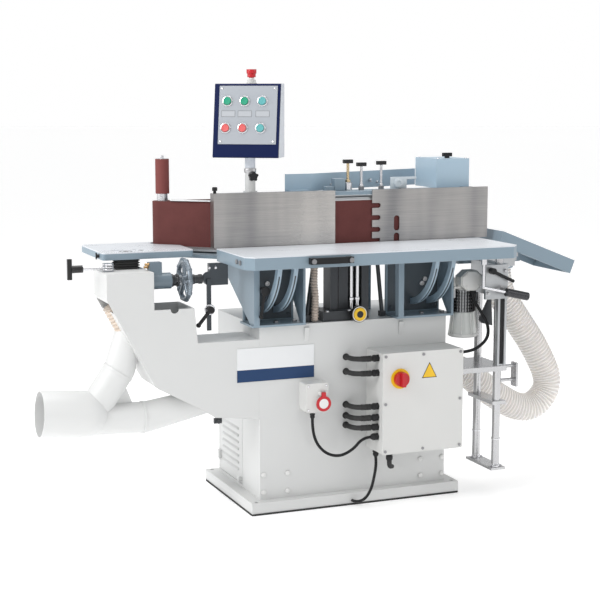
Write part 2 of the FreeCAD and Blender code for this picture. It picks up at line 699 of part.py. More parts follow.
contour = join([rod("z", contour_x, contour_y, belt_bottom, contour_radius, roller_length),
                rod("z", contour_x, contour_y, belt_top - 1, 19.0, 26.0),
                rod("z", contour_x, contour_y, sleeve_low, sleeve_r, sleeve_high - sleeve_low),
                rod("z", contour_x, contour_y, sleeve_high - 1, 6.0, 12.0)])
contour = contour.cut(rod("z", contour_x, contour_y, belt_bottom - 1, axle_r + fit, 142))
save("contour_roller", [contour])

# ---- fences and guards ----
fence_top = table_top + fence_height
left_fence = join([
    box(fence_left_end, fence_gap_left, fence_face, fence_face + fence_plate, table_top, fence_top),
    box(fence_left_end, fence_left_end + fence_plate, fence_face, fence_face + 35, table_top, fence_top),
    box(fence_left_end, fence_gap_left, fence_face, fence_face + 27, bar_high, fence_top),
])
save("fence_left", [left_fence])
right_plate = box(fence_gap_right, fence_right_end, fence_face, fence_face + fence_plate,
                  table_top, fence_top)
slots = []
for slot_z in (1007.0, 965.0, 924.0):
    slots.append(box(fence_gap_right - 1, fence_gap_right + 23, fence_face - 1,
                     fence_face + fence_plate + 1, slot_z - 8.5, slot_z + 8.5))
    slots.append(rod("y", fence_gap_right + 23, fence_face - 1, slot_z, 8.5, fence_plate + 2))
slots.append(box(fence_gap_right - 1, fence_gap_right + 30, fence_face - 1, fence_face + fence_plate + 1,
                 table_top - 1, table_top + 12))
for low, high in ((928.0, 960.0), (table_top - 2, 900.0)):
    slots.append(box(196, 217, fence_face - 1, fence_face + fence_plate + 1, low, high))
    slots.append(rod("y", 206.5, fence_face - 1, high, 10.5, fence_plate + 2))
slots.append(rod("y", 206.5, fence_face - 1, 928.0, 10.5, fence_plate + 2))
feet = [box(230, 270, fence_face + 1, fence_face + 30, bar_high, fence_top),
        box(470, 510, fence_face + 1, fence_face + 30, bar_high, fence_top)]
save("fence_right", [join([cut(right_plate, slots)] + feet)])
guard = prism_z([(-173, -6), (-77, -6), (408, 165), (407, 168), (-77.5, -3), (-173, -3)],
                bar_high, 1116)
guard_foot = box(-160, -90, -20, -5, bar_high, bar_high + 4)
cover = cut(box(385, 515, -50, 116, bar_high, 1160),
            [box(388, 512, -47, 113, bar_high - 1, 1157)])
guard_arm = box(360, 386, 106, 112, bar_high + 10, bar_high + 30)
save("guards", [join([guard, guard_foot]), cover])

# ---- vertical clamp knobs on the belt unit ----
knob_places = [(50.0, -32.0, bar_high + 28.3, 1150.0, 9.0), (101.0, -32.0, bar_high + 12.3, 1139.0, 8.0),
               (177.0, -32.0, bar_high + 12.3, 1143.0, 8.0), (452.0, 0.0, 1160.3, 1166.0, 0.0)]
for index, (kx, ky, low, high, collar_r) in enumerate(knob_places):
    pieces = [box(kx - 17, kx + 17, ky - 7, ky + 7, high, high + 13),
              rod("z", kx, ky, low, 5.0 if collar_r else 9.0, high - low + 4)]
    if index == 0:
        pieces.append(rod("z", kx, ky, low - 18, 5.0, 20))
    if collar_r:
        pieces.append(rod("z", kx, ky, low, collar_r, 9.0))
    save("top_knob_" + str(index + 1), [join(pieces)])
knob_bosses = [rod("z", 101, -32, bar_high, 10.0, 12.0), rod("z", 177, -32, bar_high, 10.0, 12.0)]

# ---- control panel on its post ----
post_x = -314.0
post_axis_y = -45.0
post_joint = 1142.0
panel_post = join([rod("z", post_x, post_axis_y, bar_high, 24.0, 8.0),
                   rod("z", post_x, post_axis_y, bar_high, 17.5, post_joint - bar_high)])
post_hole = rod("y", post_x, post_axis_y - 26, 1115, 4.0 + fit, 22)
save("panel_post", [panel_post.cut(post_hole)])
knob_lobes = [rod("y", post_x, post_axis_y - 36, 1115, 13.0, 14.0)]
for k in range(5):
    lobe = math.radians(90 + 72 * k)
    knob_lobes.append(rod("y", post_x + 12 * math.cos(lobe), post_axis_y - 36, 1115 + 12 * math.sin(lobe),
                          5.0, 12.0))
knob_lobes.append(rod("y", post_x, post_axis_y - 24, 1115, 4.0, 16.0))
save("post_knob", [join(knob_lobes)])

panel_low = 1178.0
panel_high = 1421.0
panel_half = 111.0
panel_turn = -33.0
front_low = -75.0
front_high = -30.0
panel_back = 30.0
slope_angle = math.atan2(front_high - front_low, panel_high - panel_low)
face_out = V(0, -math.cos(slope_angle), math.sin(slope_angle))


def on_panel(shape):
    turned = shape.copy()
    turned.rotate(V(0, 0, 0), V(0, 0, 1), panel_turn)
    turned.translate(V(post_x, post_axis_y, 0))
    return turned


def face_point(x, z, out):
    share = (z - panel_low) / (panel_high - panel_low)
    y = front_low + (front_high - front_low) * share
    return V(x, y, z) + face_out * out


housing_body = prism_x([(front_low, panel_low), (panel_back, panel_low), (panel_back, panel_high),
                        (front_high, panel_high)], -panel_half, panel_half)
housing_body = round_edges(housing_body, 6.0, "x")
face_mid = face_point(4, 1318, 0)
plate = Part.makeBox(196, 194, 2.0, V(-98, -97, 0))
plate.rotate(V(0, 0, 0), V(1, 0, 0), 90 - math.degrees(slope_angle))
plate.translate(face_mid - face_out * 0.5)
tube_top = rod("z", 0, 0, post_joint + 0.3, 17.5, panel_low - post_joint + 2)
button_r = 13.0
button_places = []
for row_z, shift in ((1363.0, 0.0), (1275.0, -4.0)):
    for column_place in (-66.0, -8.0, 52.0):
        button_places.append((column_place + shift, row_z))
wells = []
bezels = []
for bx, bz in button_places:
    wells.append(Part.makeCylinder(button_r + 0.4, 14, face_point(bx, bz, -8), face_out))
    rim = Part.makeCylinder(button_r + 3.5, 4, face_point(bx, bz, 1), face_out)
    bezels.append(rim)
strips = []
for sx in (-62.0, -6.0, 54.0):
    strip = Part.makeBox(44, 18, 1.0, V(-22, -9, 0))
    strip.rotate(V(0, 0, 0), V(1, 0, 0), 90 - math.degrees(slope_angle))
    strip.translate(face_point(sx, 1322, 1.2))
    strips.append(strip)
stop_x = 6.0
stop_well = rod("z", stop_x, 0, panel_high - 10, 9.0 + 0.4, 40)
stop_collar = rod("z", stop_x, 0, panel_high - 1, 12.5, 14.0)
panel = join([housing_body, plate, tube_top, stop_collar] + bezels + strips)
panel = cut(panel, wells + [stop_well])
save("panel_housing", [on_panel(panel)])
button_names = ["button_green_left", "button_green_right", "button_teal_top",
                "button_red_left", "button_red_right", "button_teal_low"]
for name, (bx, bz) in zip(button_names, button_places):
    button = Part.makeCylinder(button_r, 13, face_point(bx, bz, -4), face_out)
    save(name, [on_panel(button)])
stop = join([rod("z", stop_x, 0, panel_high - 4, 9.0, 26.0),
             rod("z", stop_x, 0, panel_high + 21, 14.0, 14.0),
             rod("z", stop_x, 0, panel_high + 33, 16.5, 14.0)])
save("estop_button", [on_panel(stop)])

# ---- left end table, its lift and lock ----
end_left = -840.0
end_front = -103.0
end_right = -533.0
end_back = 186.0
end_low = table_top - end_table_plate
end_plate = round_edges(box(end_left, end_right, end_front, end_back, end_low, table_top), 12.0, "z")
nose_room = loop_prism(pulleys, running_gap + belt_thickness + 10, end_low - 1, table_top + 1)
behind_nose = box(contour_x - 20, end_right + 5, contour_y, end_back + 5, end_low - 1, table_top + 1)
slot = join([box(-790, -757, -38, -26, end_low - 1, table_top + 1),
             rod("z", -790, -32, end_low - 1, 6.0, 40), rod("z", -757, -32, end_low - 1, 6.0, 40)])
end_table = cut(end_plate, [nose_room, behind_nose, slot, rod("z", -715, -32, end_low - 1, 8.0, 40)])
end_table = join([end_table, rod("z", lift_x, lift_y, 720, lift_r, end_low - 719)])
save("left_end_table", [end_table])

bellows_low = pedestal_top
bellows = box(lift_x - 43, lift_x + 43, end_front + 1, -47, bellows_low, end_low)
bellows = round_edges(bellows, 10.0, "z")
bellows = bellows.cut(box(lift_x - 34, lift_x + 34, end_front + 10, -56, bellows_low - 1, end_low + 1))
save("bellows", [bellows])

wheel_y = -150.0
wheel_z = 790.0
shaft_r = 8.0
gear_end = -630.0
gearbox = join([rod("x", pedestal_right, wheel_y, wheel_z, 26.0, gear_end - pedestal_right),
                rod("x", gear_end, wheel_y, wheel_z, 14.0, 14.0),
                box(pedestal_right, pedestal_right + 40, wheel_y - 16, wheel_y + 16, wheel_z + 10, 852)])
gearbox = gearbox.cut(rod("x", gear_end - 20, wheel_y, wheel_z, shaft_r + fit, 60))
hanger_left = -520.0
hanger = join([box(hanger_left + 20, table_left + 20, wheel_y - 9, wheel_y + 9, 768, table_bottom),
               rod("y", hanger_left + 22, wheel_y - 9, 790, 22.0, 18.0),
               box(hanger_left + 10, hanger_left + 24, wheel_y - 16, wheel_y - 8, 620, 790)])
hanger = hanger.cut(rod("y", hanger_left + 17, wheel_y - 20, 690, 5.0 + fit, 20))
lock_block = box(-845, -815, -142, -118, pedestal_top, pedestal_top + 26)
lock_block = lock_block.cut(rod("x", -850, -130, pedestal_top + 12, 6.0 + fit, 40))
save("left_gearbox", [gearbox, hanger, lock_block])

rim = Part.makeTorus(63.0, 8.0, V(-582, wheel_y, wheel_z), V(1, 0, 0))
wheel = [rim, rod("x", -594, wheel_y, wheel_z, 17.0, 26.0),
         rod("x", gear_end - 10, wheel_y, wheel_z, shaft_r, 50.0)]
for k in range(5):
    swing = math.radians(90 + 72 * k)
    wheel.append(bar(V(-582, wheel_y, wheel_z),
                     V(-582, wheel_y + 62 * math.cos(swing), wheel_z + 62 * math.sin(swing)), 7.0))
for k in range(10):
    swing = math.radians(36 * k)
    wheel.append(Part.makeSphere(9.5, V(-582, wheel_y + 64 * math.cos(swing),
                                        wheel_z + 64 * math.sin(swing))))
save("handwheel", [join(wheel)])
lock_z = pedestal_top + 12
left_lock = join([box(-962, -948, -136, -124, lock_z - 33, lock_z + 33),
                  rod("x", -950, -130, lock_z, 12.0, 38.0),
                  rod("x", -914, -130, lock_z, 6.0, 90.0)])
save("left_lock_knob", [left_lock])
lever_x = hanger_left + 17
left_clamp = join([rod("y", lever_x, wheel_y - 34, 690, 12.0, 17.7),
                   rod("y", lever_x, wheel_y - 18, 690, 5.0, 14.0),
                   bar(V(lever_x, wheel_y - 28, 690), V(lever_x - 42, wheel_y - 30, 642), 6.0),
                   Part.makeSphere(8.0, V(lever_x - 42, wheel_y - 30, 642))])
save("left_clamp_lever", [left_clamp])
hub_x = -338.0
hub_z = 752.0
bulkhead_y = cab_front + 84
housing_lever = join([rod("y", hub_x, housing_front - 18, hub_z, 15.0, 16.0),
                      rod("y", hub_x, housing_front - 6, hub_z, 6.0, bulkhead_y - housing_front + 5.7),
                      bar(V(hub_x, housing_front - 10, hub_z), V(hub_x - 14, housing_front - 12, hub_z - 84), 5.5),
                      Part.makeSphere(7.5, V(hub_x - 14, housing_front - 12, hub_z - 84))])
save("housing_clamp_lever", [housing_lever])

# ---- dust hose from the cabinet port to the hood under the belt unit ----
hose_points = [(cab_right + 20, port_y, port_z), (472, port_y, port_z), (606, -68, 306), (768, -64, 216),
               (872, -60, 310), (806, -56, 452), (706, -53, 590), (hose_end_x, hose_end_y, 688),
               (hose_end_x, hose_end_y, hood_z - 1)]
hose = route(hose_points, hose_diameter, "dust hose")
save("dust_hose", [hose])

# ---- bolts, screws and plugs ----
fasteners = list(lid_screws) + knob_bosses + [knob_stand]
for px, pz in ((-333, 128), (-247, 126), (-333, 68), (-247, 66), (251, 127), (335, 126), (251, 68), (335, 67)):
    fasteners.append(rod("y", px, cab_front - 4, pz, 7.0, 4.0))
for x0, x1 in ((left_x0, left_x1), (right_x0, right_x1)):
    for bx in (x0 + 22, (x0 + x1) / 2, x1 - 26):
        fasteners.append(rod("z", bx, cab_front + 14, cabinet_top + 7, 8.0, 7.0))
for by in (table_front + 60, table_front + 92):
    fasteners.append(rod("x", table_left - 5, by, table_top - 22, 8.0, 5.0))
for hx in (handle_left + 9, handle_right - 9):
    fasteners.append(rod("y", hx, table_front - 28, handle_z, 8.0, 6.0))
save("fasteners", fasteners)
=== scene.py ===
import math

import bmesh
import bpy
from mathutils import Matrix, Vector


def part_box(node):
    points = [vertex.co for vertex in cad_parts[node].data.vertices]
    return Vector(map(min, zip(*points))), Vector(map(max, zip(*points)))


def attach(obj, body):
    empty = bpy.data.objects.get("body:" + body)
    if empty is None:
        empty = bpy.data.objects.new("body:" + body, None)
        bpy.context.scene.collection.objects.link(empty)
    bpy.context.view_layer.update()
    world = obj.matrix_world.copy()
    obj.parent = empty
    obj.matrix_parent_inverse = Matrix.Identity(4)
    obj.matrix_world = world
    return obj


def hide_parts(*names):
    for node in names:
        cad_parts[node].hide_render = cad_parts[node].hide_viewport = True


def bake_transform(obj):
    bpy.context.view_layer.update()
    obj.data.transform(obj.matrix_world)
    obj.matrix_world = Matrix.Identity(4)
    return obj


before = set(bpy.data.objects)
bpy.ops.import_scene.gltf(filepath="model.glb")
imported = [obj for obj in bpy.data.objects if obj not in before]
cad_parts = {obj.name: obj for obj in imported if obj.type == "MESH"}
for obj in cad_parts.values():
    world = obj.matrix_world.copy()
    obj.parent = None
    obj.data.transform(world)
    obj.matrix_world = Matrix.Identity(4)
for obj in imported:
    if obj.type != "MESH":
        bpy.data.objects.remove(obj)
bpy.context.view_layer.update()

bl_info = {
    "name": "Edge Belt Sander Finish",
    "version": (1, 0, 0),
    "blender": (4, 5, 0),
    "location": "View3D > Sidebar > Sander",
    "description": "Builds the cables, hose, panel face, hardware and finishes of an edge belt sander",
    "category": "Object",
}

# ---- directions ----
UP = (0.0, 0.0, 1.0)
DOWN = (0.0, 0.0, -1.0)
RIGHT = (1.0, 0.0, 0.0)
LEFT = (-1.0, 0.0, 0.0)
FRONT = (0.0, -1.0, 0.0)
FRONT_PLANE = (1.0, 0.0, 1.0)

# ---- places taken from the frame ----
CABINET_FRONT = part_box("electrical_box")[1].y
LID_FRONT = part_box("electrical_box_lid")[0].y
DOOR_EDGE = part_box("side_door")[1].x
TABLE_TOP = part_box("main_table")[1].z
BELT_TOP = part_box("sanding_belt")[1].z
BAR_TOP = TABLE_TOP + 0.175

# ---- the control panel ----
POST_AXIS = Vector((-0.314, -0.045, 0.0))
PANEL_TURN = math.radians(-33.0)
PANEL_LOW = 1.178
PANEL_HIGH = 1.421
PANEL_FRONT_LOW = -0.075
PANEL_FRONT_HIGH = -0.030
PANEL_SLOPE = math.atan2(PANEL_FRONT_HIGH - PANEL_FRONT_LOW, PANEL_HIGH - PANEL_LOW)
BUTTON_PLACES = {
    "button_green_left": (-0.066, 1.363), "button_green_right": (-0.008, 1.363),
    "button_teal_top": (0.052, 1.363), "button_red_left": (-0.070, 1.275),
    "button_red_right": (-0.012, 1.275), "button_teal_low": (0.048, 1.275),
}

# ---- axes and faces that several pieces share ----
SPINDLE_Y = -0.150
SPINDLE_Z = 0.790
MOTOR_AXIS = Vector((0.414, -0.205, 0.0))
MOTOR_LID = (0.414, -0.267, 0.752)
STAND_X = 0.498
STAND_COLUMNS_Y = (-0.302, -0.165)
STAND_FOOT_TOP = 0.098
HOUSING_BACK_Y = -0.1268
GUARD_OUT = (0.3325, -0.9431, 0.0)

# ---- routes of the cables and the hose: the solid model's, with the floor cable moved a little ----
GLAND_MOUTH_X = 0.018
GLAND_LINE_Y = -0.302
GLAND_HEIGHTS = (0.514, 0.464, 0.350, 0.312, 0.279, 0.246)
SUPPLY_ROUTE = [(GLAND_MOUTH_X, GLAND_LINE_Y, GLAND_HEIGHTS[5]), (-0.012, -0.302, 0.246),
                (-0.048, -0.300, 0.206), (-0.100, -0.294, 0.186), (-0.146, -0.272, 0.204),
                (-0.171, -0.246, 0.256), (-0.171, -0.246, 0.313)]
FLOOR_ROUTE = [(0.052, -0.270, 0.168), (0.054, -0.272, 0.142), (0.038, -0.288, 0.100),
               (0.022, -0.300, 0.064), (0.000, -0.300, 0.032), (-0.020, -0.274, 0.017),
               (-0.022, -0.243, 0.015)]
MOTOR_ROUTE = [(0.422, -0.256, 0.7171), (0.422, -0.256, 0.690), (0.446, -0.268, 0.648),
               (0.472, -0.282, 0.600), (0.468, -0.290, 0.552), (0.426, -0.292, 0.520),
               (0.384, -0.292, 0.510), (0.344, -0.292, 0.510)]
HOSE_ROUTE = [(0.365, -0.070, 0.420), (0.472, -0.070, 0.420), (0.606, -0.068, 0.306),
              (0.768, -0.064, 0.216), (0.872, -0.060, 0.310), (0.806, -0.056, 0.452),
              (0.706, -0.053, 0.590), (0.634, -0.050, 0.688), (0.634, -0.050, 0.789)]


# ---- sizes and colours that a user may change ----
class SanderSizes(bpy.types.PropertyGroup):
    rib_pitch: bpy.props.FloatProperty(
        name="Hose rib pitch", description="Distance between two turns of the hose rib",
        default=0.0125, min=0.008, max=0.03, unit="LENGTH")
    rib_depth: bpy.props.FloatProperty(
        name="Hose rib depth", description="How far the rib stands above the valley between two turns",
        default=0.0042, min=0.001, max=0.01, unit="LENGTH")
    hose_diameter: bpy.props.FloatProperty(
        name="Hose diameter", description="Outside diameter of the dust hose",
        default=0.104, min=0.05, max=0.12, unit="LENGTH")
    cable_diameter: bpy.props.FloatProperty(
        name="Cable diameter", description="Outside diameter of the control, supply and floor cables",
        default=0.010, min=0.006, max=0.014, unit="LENGTH")
    motor_cable_diameter: bpy.props.FloatProperty(
        name="Motor cable diameter", description="Outside diameter of the gear motor's cable",
        default=0.011, min=0.006, max=0.014, unit="LENGTH")
    bellows_folds: bpy.props.IntProperty(
        name="Bellows folds", description="Number of folds of the rubber boot round the lift post",
        default=4, min=2, max=8)
    edge_round: bpy.props.FloatProperty(
        name="Edge rounding", description="Radius of the soft edge on painted sheet metal",
        default=0.0016, min=0.0002, max=0.004, unit="LENGTH")


def colour_choice(name, description, value):
    return bpy.props.FloatVectorProperty(
        name=name, description=description, default=value, size=3, min=0.0, max=1.0, subtype="COLOR")


class SanderColours(bpy.types.PropertyGroup):
    cabinet: colour_choice("Cabinet", "Light powder coat of the cabinet and arm", (0.640, 0.645, 0.640))
    duct: colour_choice("Ducts", "White coating of the dust ducts", (0.700, 0.705, 0.700))
    paint: colour_choice("Machine paint", "Grey-blue paint of castings and guards", (0.235, 0.310, 0.370))
    panel: colour_choice("Panel", "Dark blue of the control panel", (0.003, 0.010, 0.062))
    face: colour_choice("Panel face", "Light grey of the panel face", (0.370, 0.395, 0.430))
    belt: colour_choice("Abrasive", "Brown of the sanding belt and sleeve", (0.165, 0.046, 0.042))
    hose: colour_choice("Hose", "Milky white of the dust hose", (0.930, 0.905, 0.880))
    black: colour_choice("Black parts", "Black of knobs, cables and rubber", (0.007, 0.007, 0.008))
    yellow: colour_choice("Yellow", "Yellow of the switch plate and indicator", (0.830, 0.510, 0.015))
    red: colour_choice("Red", "Red of the stop button, switch and inlet cap", (0.520, 0.010, 0.018))


def sizes():
    return bpy.context.scene.sander_sizes


def colours():
    return bpy.context.scene.sander_colours


# ---- shape helpers ----
def turned(bm, profile, centre, axis, sides=40, loop=False):
    """A turned form from (along, radius) steps; a radius of nought closes an end, loop makes a ring."""
    way = Vector(axis).normalized()
    side = way.orthogonal().normalized()
    other = way.cross(side)
    rings = []
    for along, radius in profile:
        middle = Vector(centre) + way * along
        if radius <= 0.0:
            rings.append([bm.verts.new(middle)])
            continue
        ring = []
        for k in range(sides):
            turn = 2 * math.pi * k / sides
            ring.append(bm.verts.new(middle + (side * math.cos(turn) + other * math.sin(turn)) * radius))
        rings.append(ring)
    pairs = list(zip(rings, rings[1:]))
    if loop:
        pairs.append((rings[-1], rings[0]))
    for low, high in pairs:
        for k in range(sides):
            after = (k + 1) % sides
            if len(low) == 1:
                bm.faces.new((low[0], high[k], high[after]))
            elif len(high) == 1:
                bm.faces.new((low[k], high[0], low[after]))
            else:
                bm.faces.new((low[k], high[k], high[after], low[after]))


def slab(bm, outline, way, soft=0.0):
    """A plate from the outline's points, thickened along way, with its edges softened."""
    way = Vector(way)
    near = [bm.verts.new(Vector(p)) for p in outline]
    far = [bm.verts.new(Vector(p) + way) for p in outline]
    faces = [bm.faces.new(near), bm.faces.new(list(reversed(far)))]
    for k in range(len(near)):
        after = (k + 1) % len(near)
        faces.append(bm.faces.new((near[k], far[k], far[after], near[after])))
    if soft > 0.0:
        edges = list(dict.fromkeys(edge for face in faces for edge in face.edges))
        bmesh.ops.bevel(bm, geom=edges, offset=soft, segments=2, profile=0.6, affect="EDGES",
                        clamp_overlap=True)


def block(bm, low, high, soft=0.0):
    """A box from its low corner to its high corner."""
    x0, y0, z0 = low
    x1, y1, z1 = high
    slab(bm, [(x0, y0, z0), (x1, y0, z0), (x1, y1, z0), (x0, y1, z0)], (0, 0, z1 - z0), soft)


def head(bm, place, way, wide, straight, top, tall, sides=24):
    """A screw, bolt or cap: straight sides as far as straight, then drawn in to its top."""
    turned(bm, [(0.0, 0.0), (0.0, wide), (straight, wide), (tall, top), (tall, 0.0)], place, way,
           sides=sides)


def band(bm, place, way, inner, outer, long, sides=64):
    """A plain ring round an axis."""
    turned(bm, [(0.0, inner), (0.0, outer), (long, outer), (long, inner)], place, way, sides=sides,
           loop=True)


def sweep(bm, points, radius_at, sides=16):
    """A closed tube along points; radius_at(distance along, turn round) gives its radius."""
    places = [Vector(p) for p in points]
    ways = []
    for k in range(len(places)):
        ahead = places[min(k + 1, len(places) - 1)] - places[max(k - 1, 0)]
        ways.append(ahead.normalized())
    side = ways[0].orthogonal().normalized()
    along = 0.0
    rings = []
    for k, place in enumerate(places):
        if k:
            along += (place - places[k - 1]).length
            side = (side - ways[k] * side.dot(ways[k])).normalized()
        other = ways[k].cross(side)
        ring = []
        for j in range(sides):
            turn = 2 * math.pi * j / sides
            reach = radius_at(along, turn)
            ring.append(bm.verts.new(place + (side * math.cos(turn) + other * math.sin(turn)) * reach))
        rings.append(ring)
    for low, high in zip(rings, rings[1:]):
        for j in range(sides):
            after = (j + 1) % sides
            bm.faces.new((low[j], low[after], high[after], high[j]))
    bm.faces.new(list(reversed(rings[0])))
    bm.faces.new(rings[-1])


def piece(name, bm, material, body, crease=34.0):
    """Turns a finished mesh into a named piece that rides on a body."""
    bmesh.ops.recalc_face_normals(bm, faces=bm.faces)
    mesh = bpy.data.meshes.new(name)
    bm.to_mesh(mesh)
    bm.free()
    mesh.materials.append(material)
    mesh.shade_smooth()
    mesh.set_sharp_from_angle(angle=math.radians(crease))
    made = bpy.data.objects.new(name, mesh)
    bpy.context.scene.collection.objects.link(made)
    if body:
        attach(made, body)
    return made


def coil(centre, axis, radius, length, turns, steps=14):
    """Points of a helix round an axis, for a spring."""
    way = Vector(axis).normalized()
    side = way.orthogonal().normalized()
    other = way.cross(side)
    points = []
    for k in range(turns * steps + 1):
        turn = 2 * math.pi * k / steps
        points.append(Vector(centre) + way * (length * k / (turns * steps))
                      + (side * math.cos(turn) + other * math.sin(turn)) * radius)
    return points


def route_curve(name, points, radius):
    """A smooth line with the route's points as its controls."""
    data = bpy.data.curves.new(name, "CURVE")
    data.dimensions = "3D"
    line = data.splines.new("NURBS")
    line.points.add(len(points) - 1)
    for control, point in zip(line.points, points):
        control.co = (*point, 1.0)
    line.order_u = 3
    line.use_endpoint_u = True
    line.resolution_u = 24
    data.bevel_depth = radius
    data.bevel_resolution = 6
    data.use_fill_caps = True
    made = bpy.data.objects.new(name, data)
    bpy.context.scene.collection.objects.link(made)
    return made


def route_line(name, points):
    """The places that a smooth route passes, evenly read from its own line."""
    guide = route_curve(name + "_guide", points, 0.0)
    bpy.context.view_layer.update()
    read = bpy.data.meshes.new_from_object(guide)
    places = [vertex.co.copy() for vertex in read.vertices]
    bpy.data.meshes.remove(read)
    bpy.data.objects.remove(guide)
    return places


def evenly(places, step):
    """The same line with its places a fixed step apart."""
    kept = [places[0]]
    left = step
    for start, end in zip(places, places[1:]):
        run = (end - start).length
        done = 0.0
        while run - done >= left:
            done += left
            kept.append(start.lerp(end, done / run))
            left = step
        left -= run - done
    if (places[-1] - kept[-1]).length > step * 0.3:
        kept.append(places[-1])
    else:
        kept[-1] = places[-1]
    return kept


def on_panel(point):
    """A place in the panel's own frame, turned and moved to where the panel stands."""
    return Matrix.Rotation(PANEL_TURN, 4, "Z") @ Vector(point) + POST_AXIS


def panel_out():
    """The way that the panel's sloped front faces."""
    way = Vector((0.0, -math.cos(PANEL_SLOPE), math.sin(PANEL_SLOPE)))
    return (Matrix.Rotation(PANEL_TURN, 4, "Z") @ way).normalized()


def face_place(x, z, out=0.0):
    """A place on the panel's sloped front, out metres in front of it."""
    share = (z - PANEL_LOW) / (PANEL_HIGH - PANEL_LOW)
    y = PANEL_FRONT_LOW + (PANEL_FRONT_HIGH - PANEL_FRONT_LOW) * share
    return on_panel((x, y, z)) + panel_out() * out


# ---- shared shader groups ----
def add_node(tree, kind, **values):
    made = tree.nodes.new(kind)
    for key, value in values.items():
        setattr(made, key, value)
    return made


def new_group(name, inputs, outputs):
    tree = bpy.data.node_groups.new(name, "ShaderNodeTree")
    for label, kind, value in inputs:
        socket = tree.interface.new_socket(name=label, in_out="INPUT", socket_type=kind)
        socket.default_value = value
    for label, kind in outputs:
        tree.interface.new_socket(name=label, in_out="OUTPUT", socket_type=kind)
    return tree, tree.nodes.new("NodeGroupInput"), tree.nodes.new("NodeGroupOutput")


def calculate(tree, operation, first, second=None, clamp=False):
    made = add_node(tree, "ShaderNodeMath", operation=operation, use_clamp=clamp)
    for socket, value in zip(made.inputs, (first, second)):
        if value is None:
            continue
        if isinstance(value, (int, float)):
            socket.default_value = value
        else:
            tree.links.new(value, socket)
    return made.outputs[0]


def mix_colour(tree, share, first, second):
    made = add_node(tree, "ShaderNodeMix", data_type="RGBA")
    for socket, value in ((made.inputs[0], share), (made.inputs[6], first), (made.inputs[7], second)):
        if isinstance(value, (int, float)):
            socket.default_value = value
        elif isinstance(value, (tuple, list)):
            socket.default_value = (*value[:3], 1.0)
        else:
            tree.links.new(value, socket)
    return made.outputs[2]


def mix_value(tree, share, first, second):
    made = add_node(tree, "ShaderNodeMix", data_type="FLOAT")
    for socket, value in ((made.inputs[0], share), (made.inputs[2], first), (made.inputs[3], second)):
        if isinstance(value, (int, float)):
            socket.default_value = value
        else:
            tree.links.new(value, socket)
    return made.outputs[0]


def build_grain_group():
    """Fine grain with slow colour drift: paint, cast metal, brushed sheet, rubber and plastic."""
    colour = "NodeSocketColor"
    number = "NodeSocketFloat"
    tree, given, out = new_group(
        "Surface Grain",
        [("Colour", colour, (0.5, 0.5, 0.5, 1.0)), ("Second Colour", colour, (0.4, 0.4, 0.4, 1.0)),
         ("Stretch", "NodeSocketVector", (1.0, 1.0, 1.0)), ("Grain Count", number, 400.0),
         ("Drift Stretch", "NodeSocketVector", (1.0, 1.0, 1.0)), ("Drift Count", number, 5.0),
         ("Fine Share", number, 0.45), ("Change", number, 0.5), ("Smoothest", number, 0.3),
         ("Roughest", number, 0.5)],
        [("Colour", colour), ("Roughness", number), ("Height", number)])
    place = add_node(tree, "ShaderNodeTexCoord").outputs["Object"]
    scaled = add_node(tree, "ShaderNodeVectorMath", operation="MULTIPLY")
    tree.links.new(place, scaled.inputs[0])
    tree.links.new(given.outputs["Stretch"], scaled.inputs[1])
    fine = add_node(tree, "ShaderNodeTexNoise")
    fine.inputs["Detail"].default_value = 5.0
    fine.inputs["Roughness"].default_value = 0.6
    tree.links.new(scaled.outputs[0], fine.inputs["Vector"])
    tree.links.new(given.outputs["Grain Count"], fine.inputs["Scale"])
    slow = add_node(tree, "ShaderNodeTexNoise")
    slow.inputs["Detail"].default_value = 3.0
    drawn = add_node(tree, "ShaderNodeVectorMath", operation="MULTIPLY")
    tree.links.new(place, drawn.inputs[0])
    tree.links.new(given.outputs["Drift Stretch"], drawn.inputs[1])
    tree.links.new(drawn.outputs[0], slow.inputs["Vector"])
    tree.links.new(given.outputs["Drift Count"], slow.inputs["Scale"])
    blend = mix_value(tree, given.outputs["Fine Share"], slow.outputs["Fac"], fine.outputs["Fac"])
    spread = calculate(tree, "MULTIPLY_ADD", blend, 2.6)
    spread.node.inputs[2].default_value = -0.8
    spread.node.use_clamp = True
    share = calculate(tree, "MULTIPLY", spread, given.outputs["Change"], clamp=True)
    mixed = mix_colour(tree, share, given.outputs["Colour"], given.outputs["Second Colour"])
    rough = mix_value(tree, spread, given.outputs["Smoothest"], given.outputs["Roughest"])
    tree.links.new(mixed, out.inputs["Colour"])
    tree.links.new(rough, out.inputs["Roughness"])
    tree.links.new(fine.outputs["Fac"], out.inputs["Height"])
    return tree


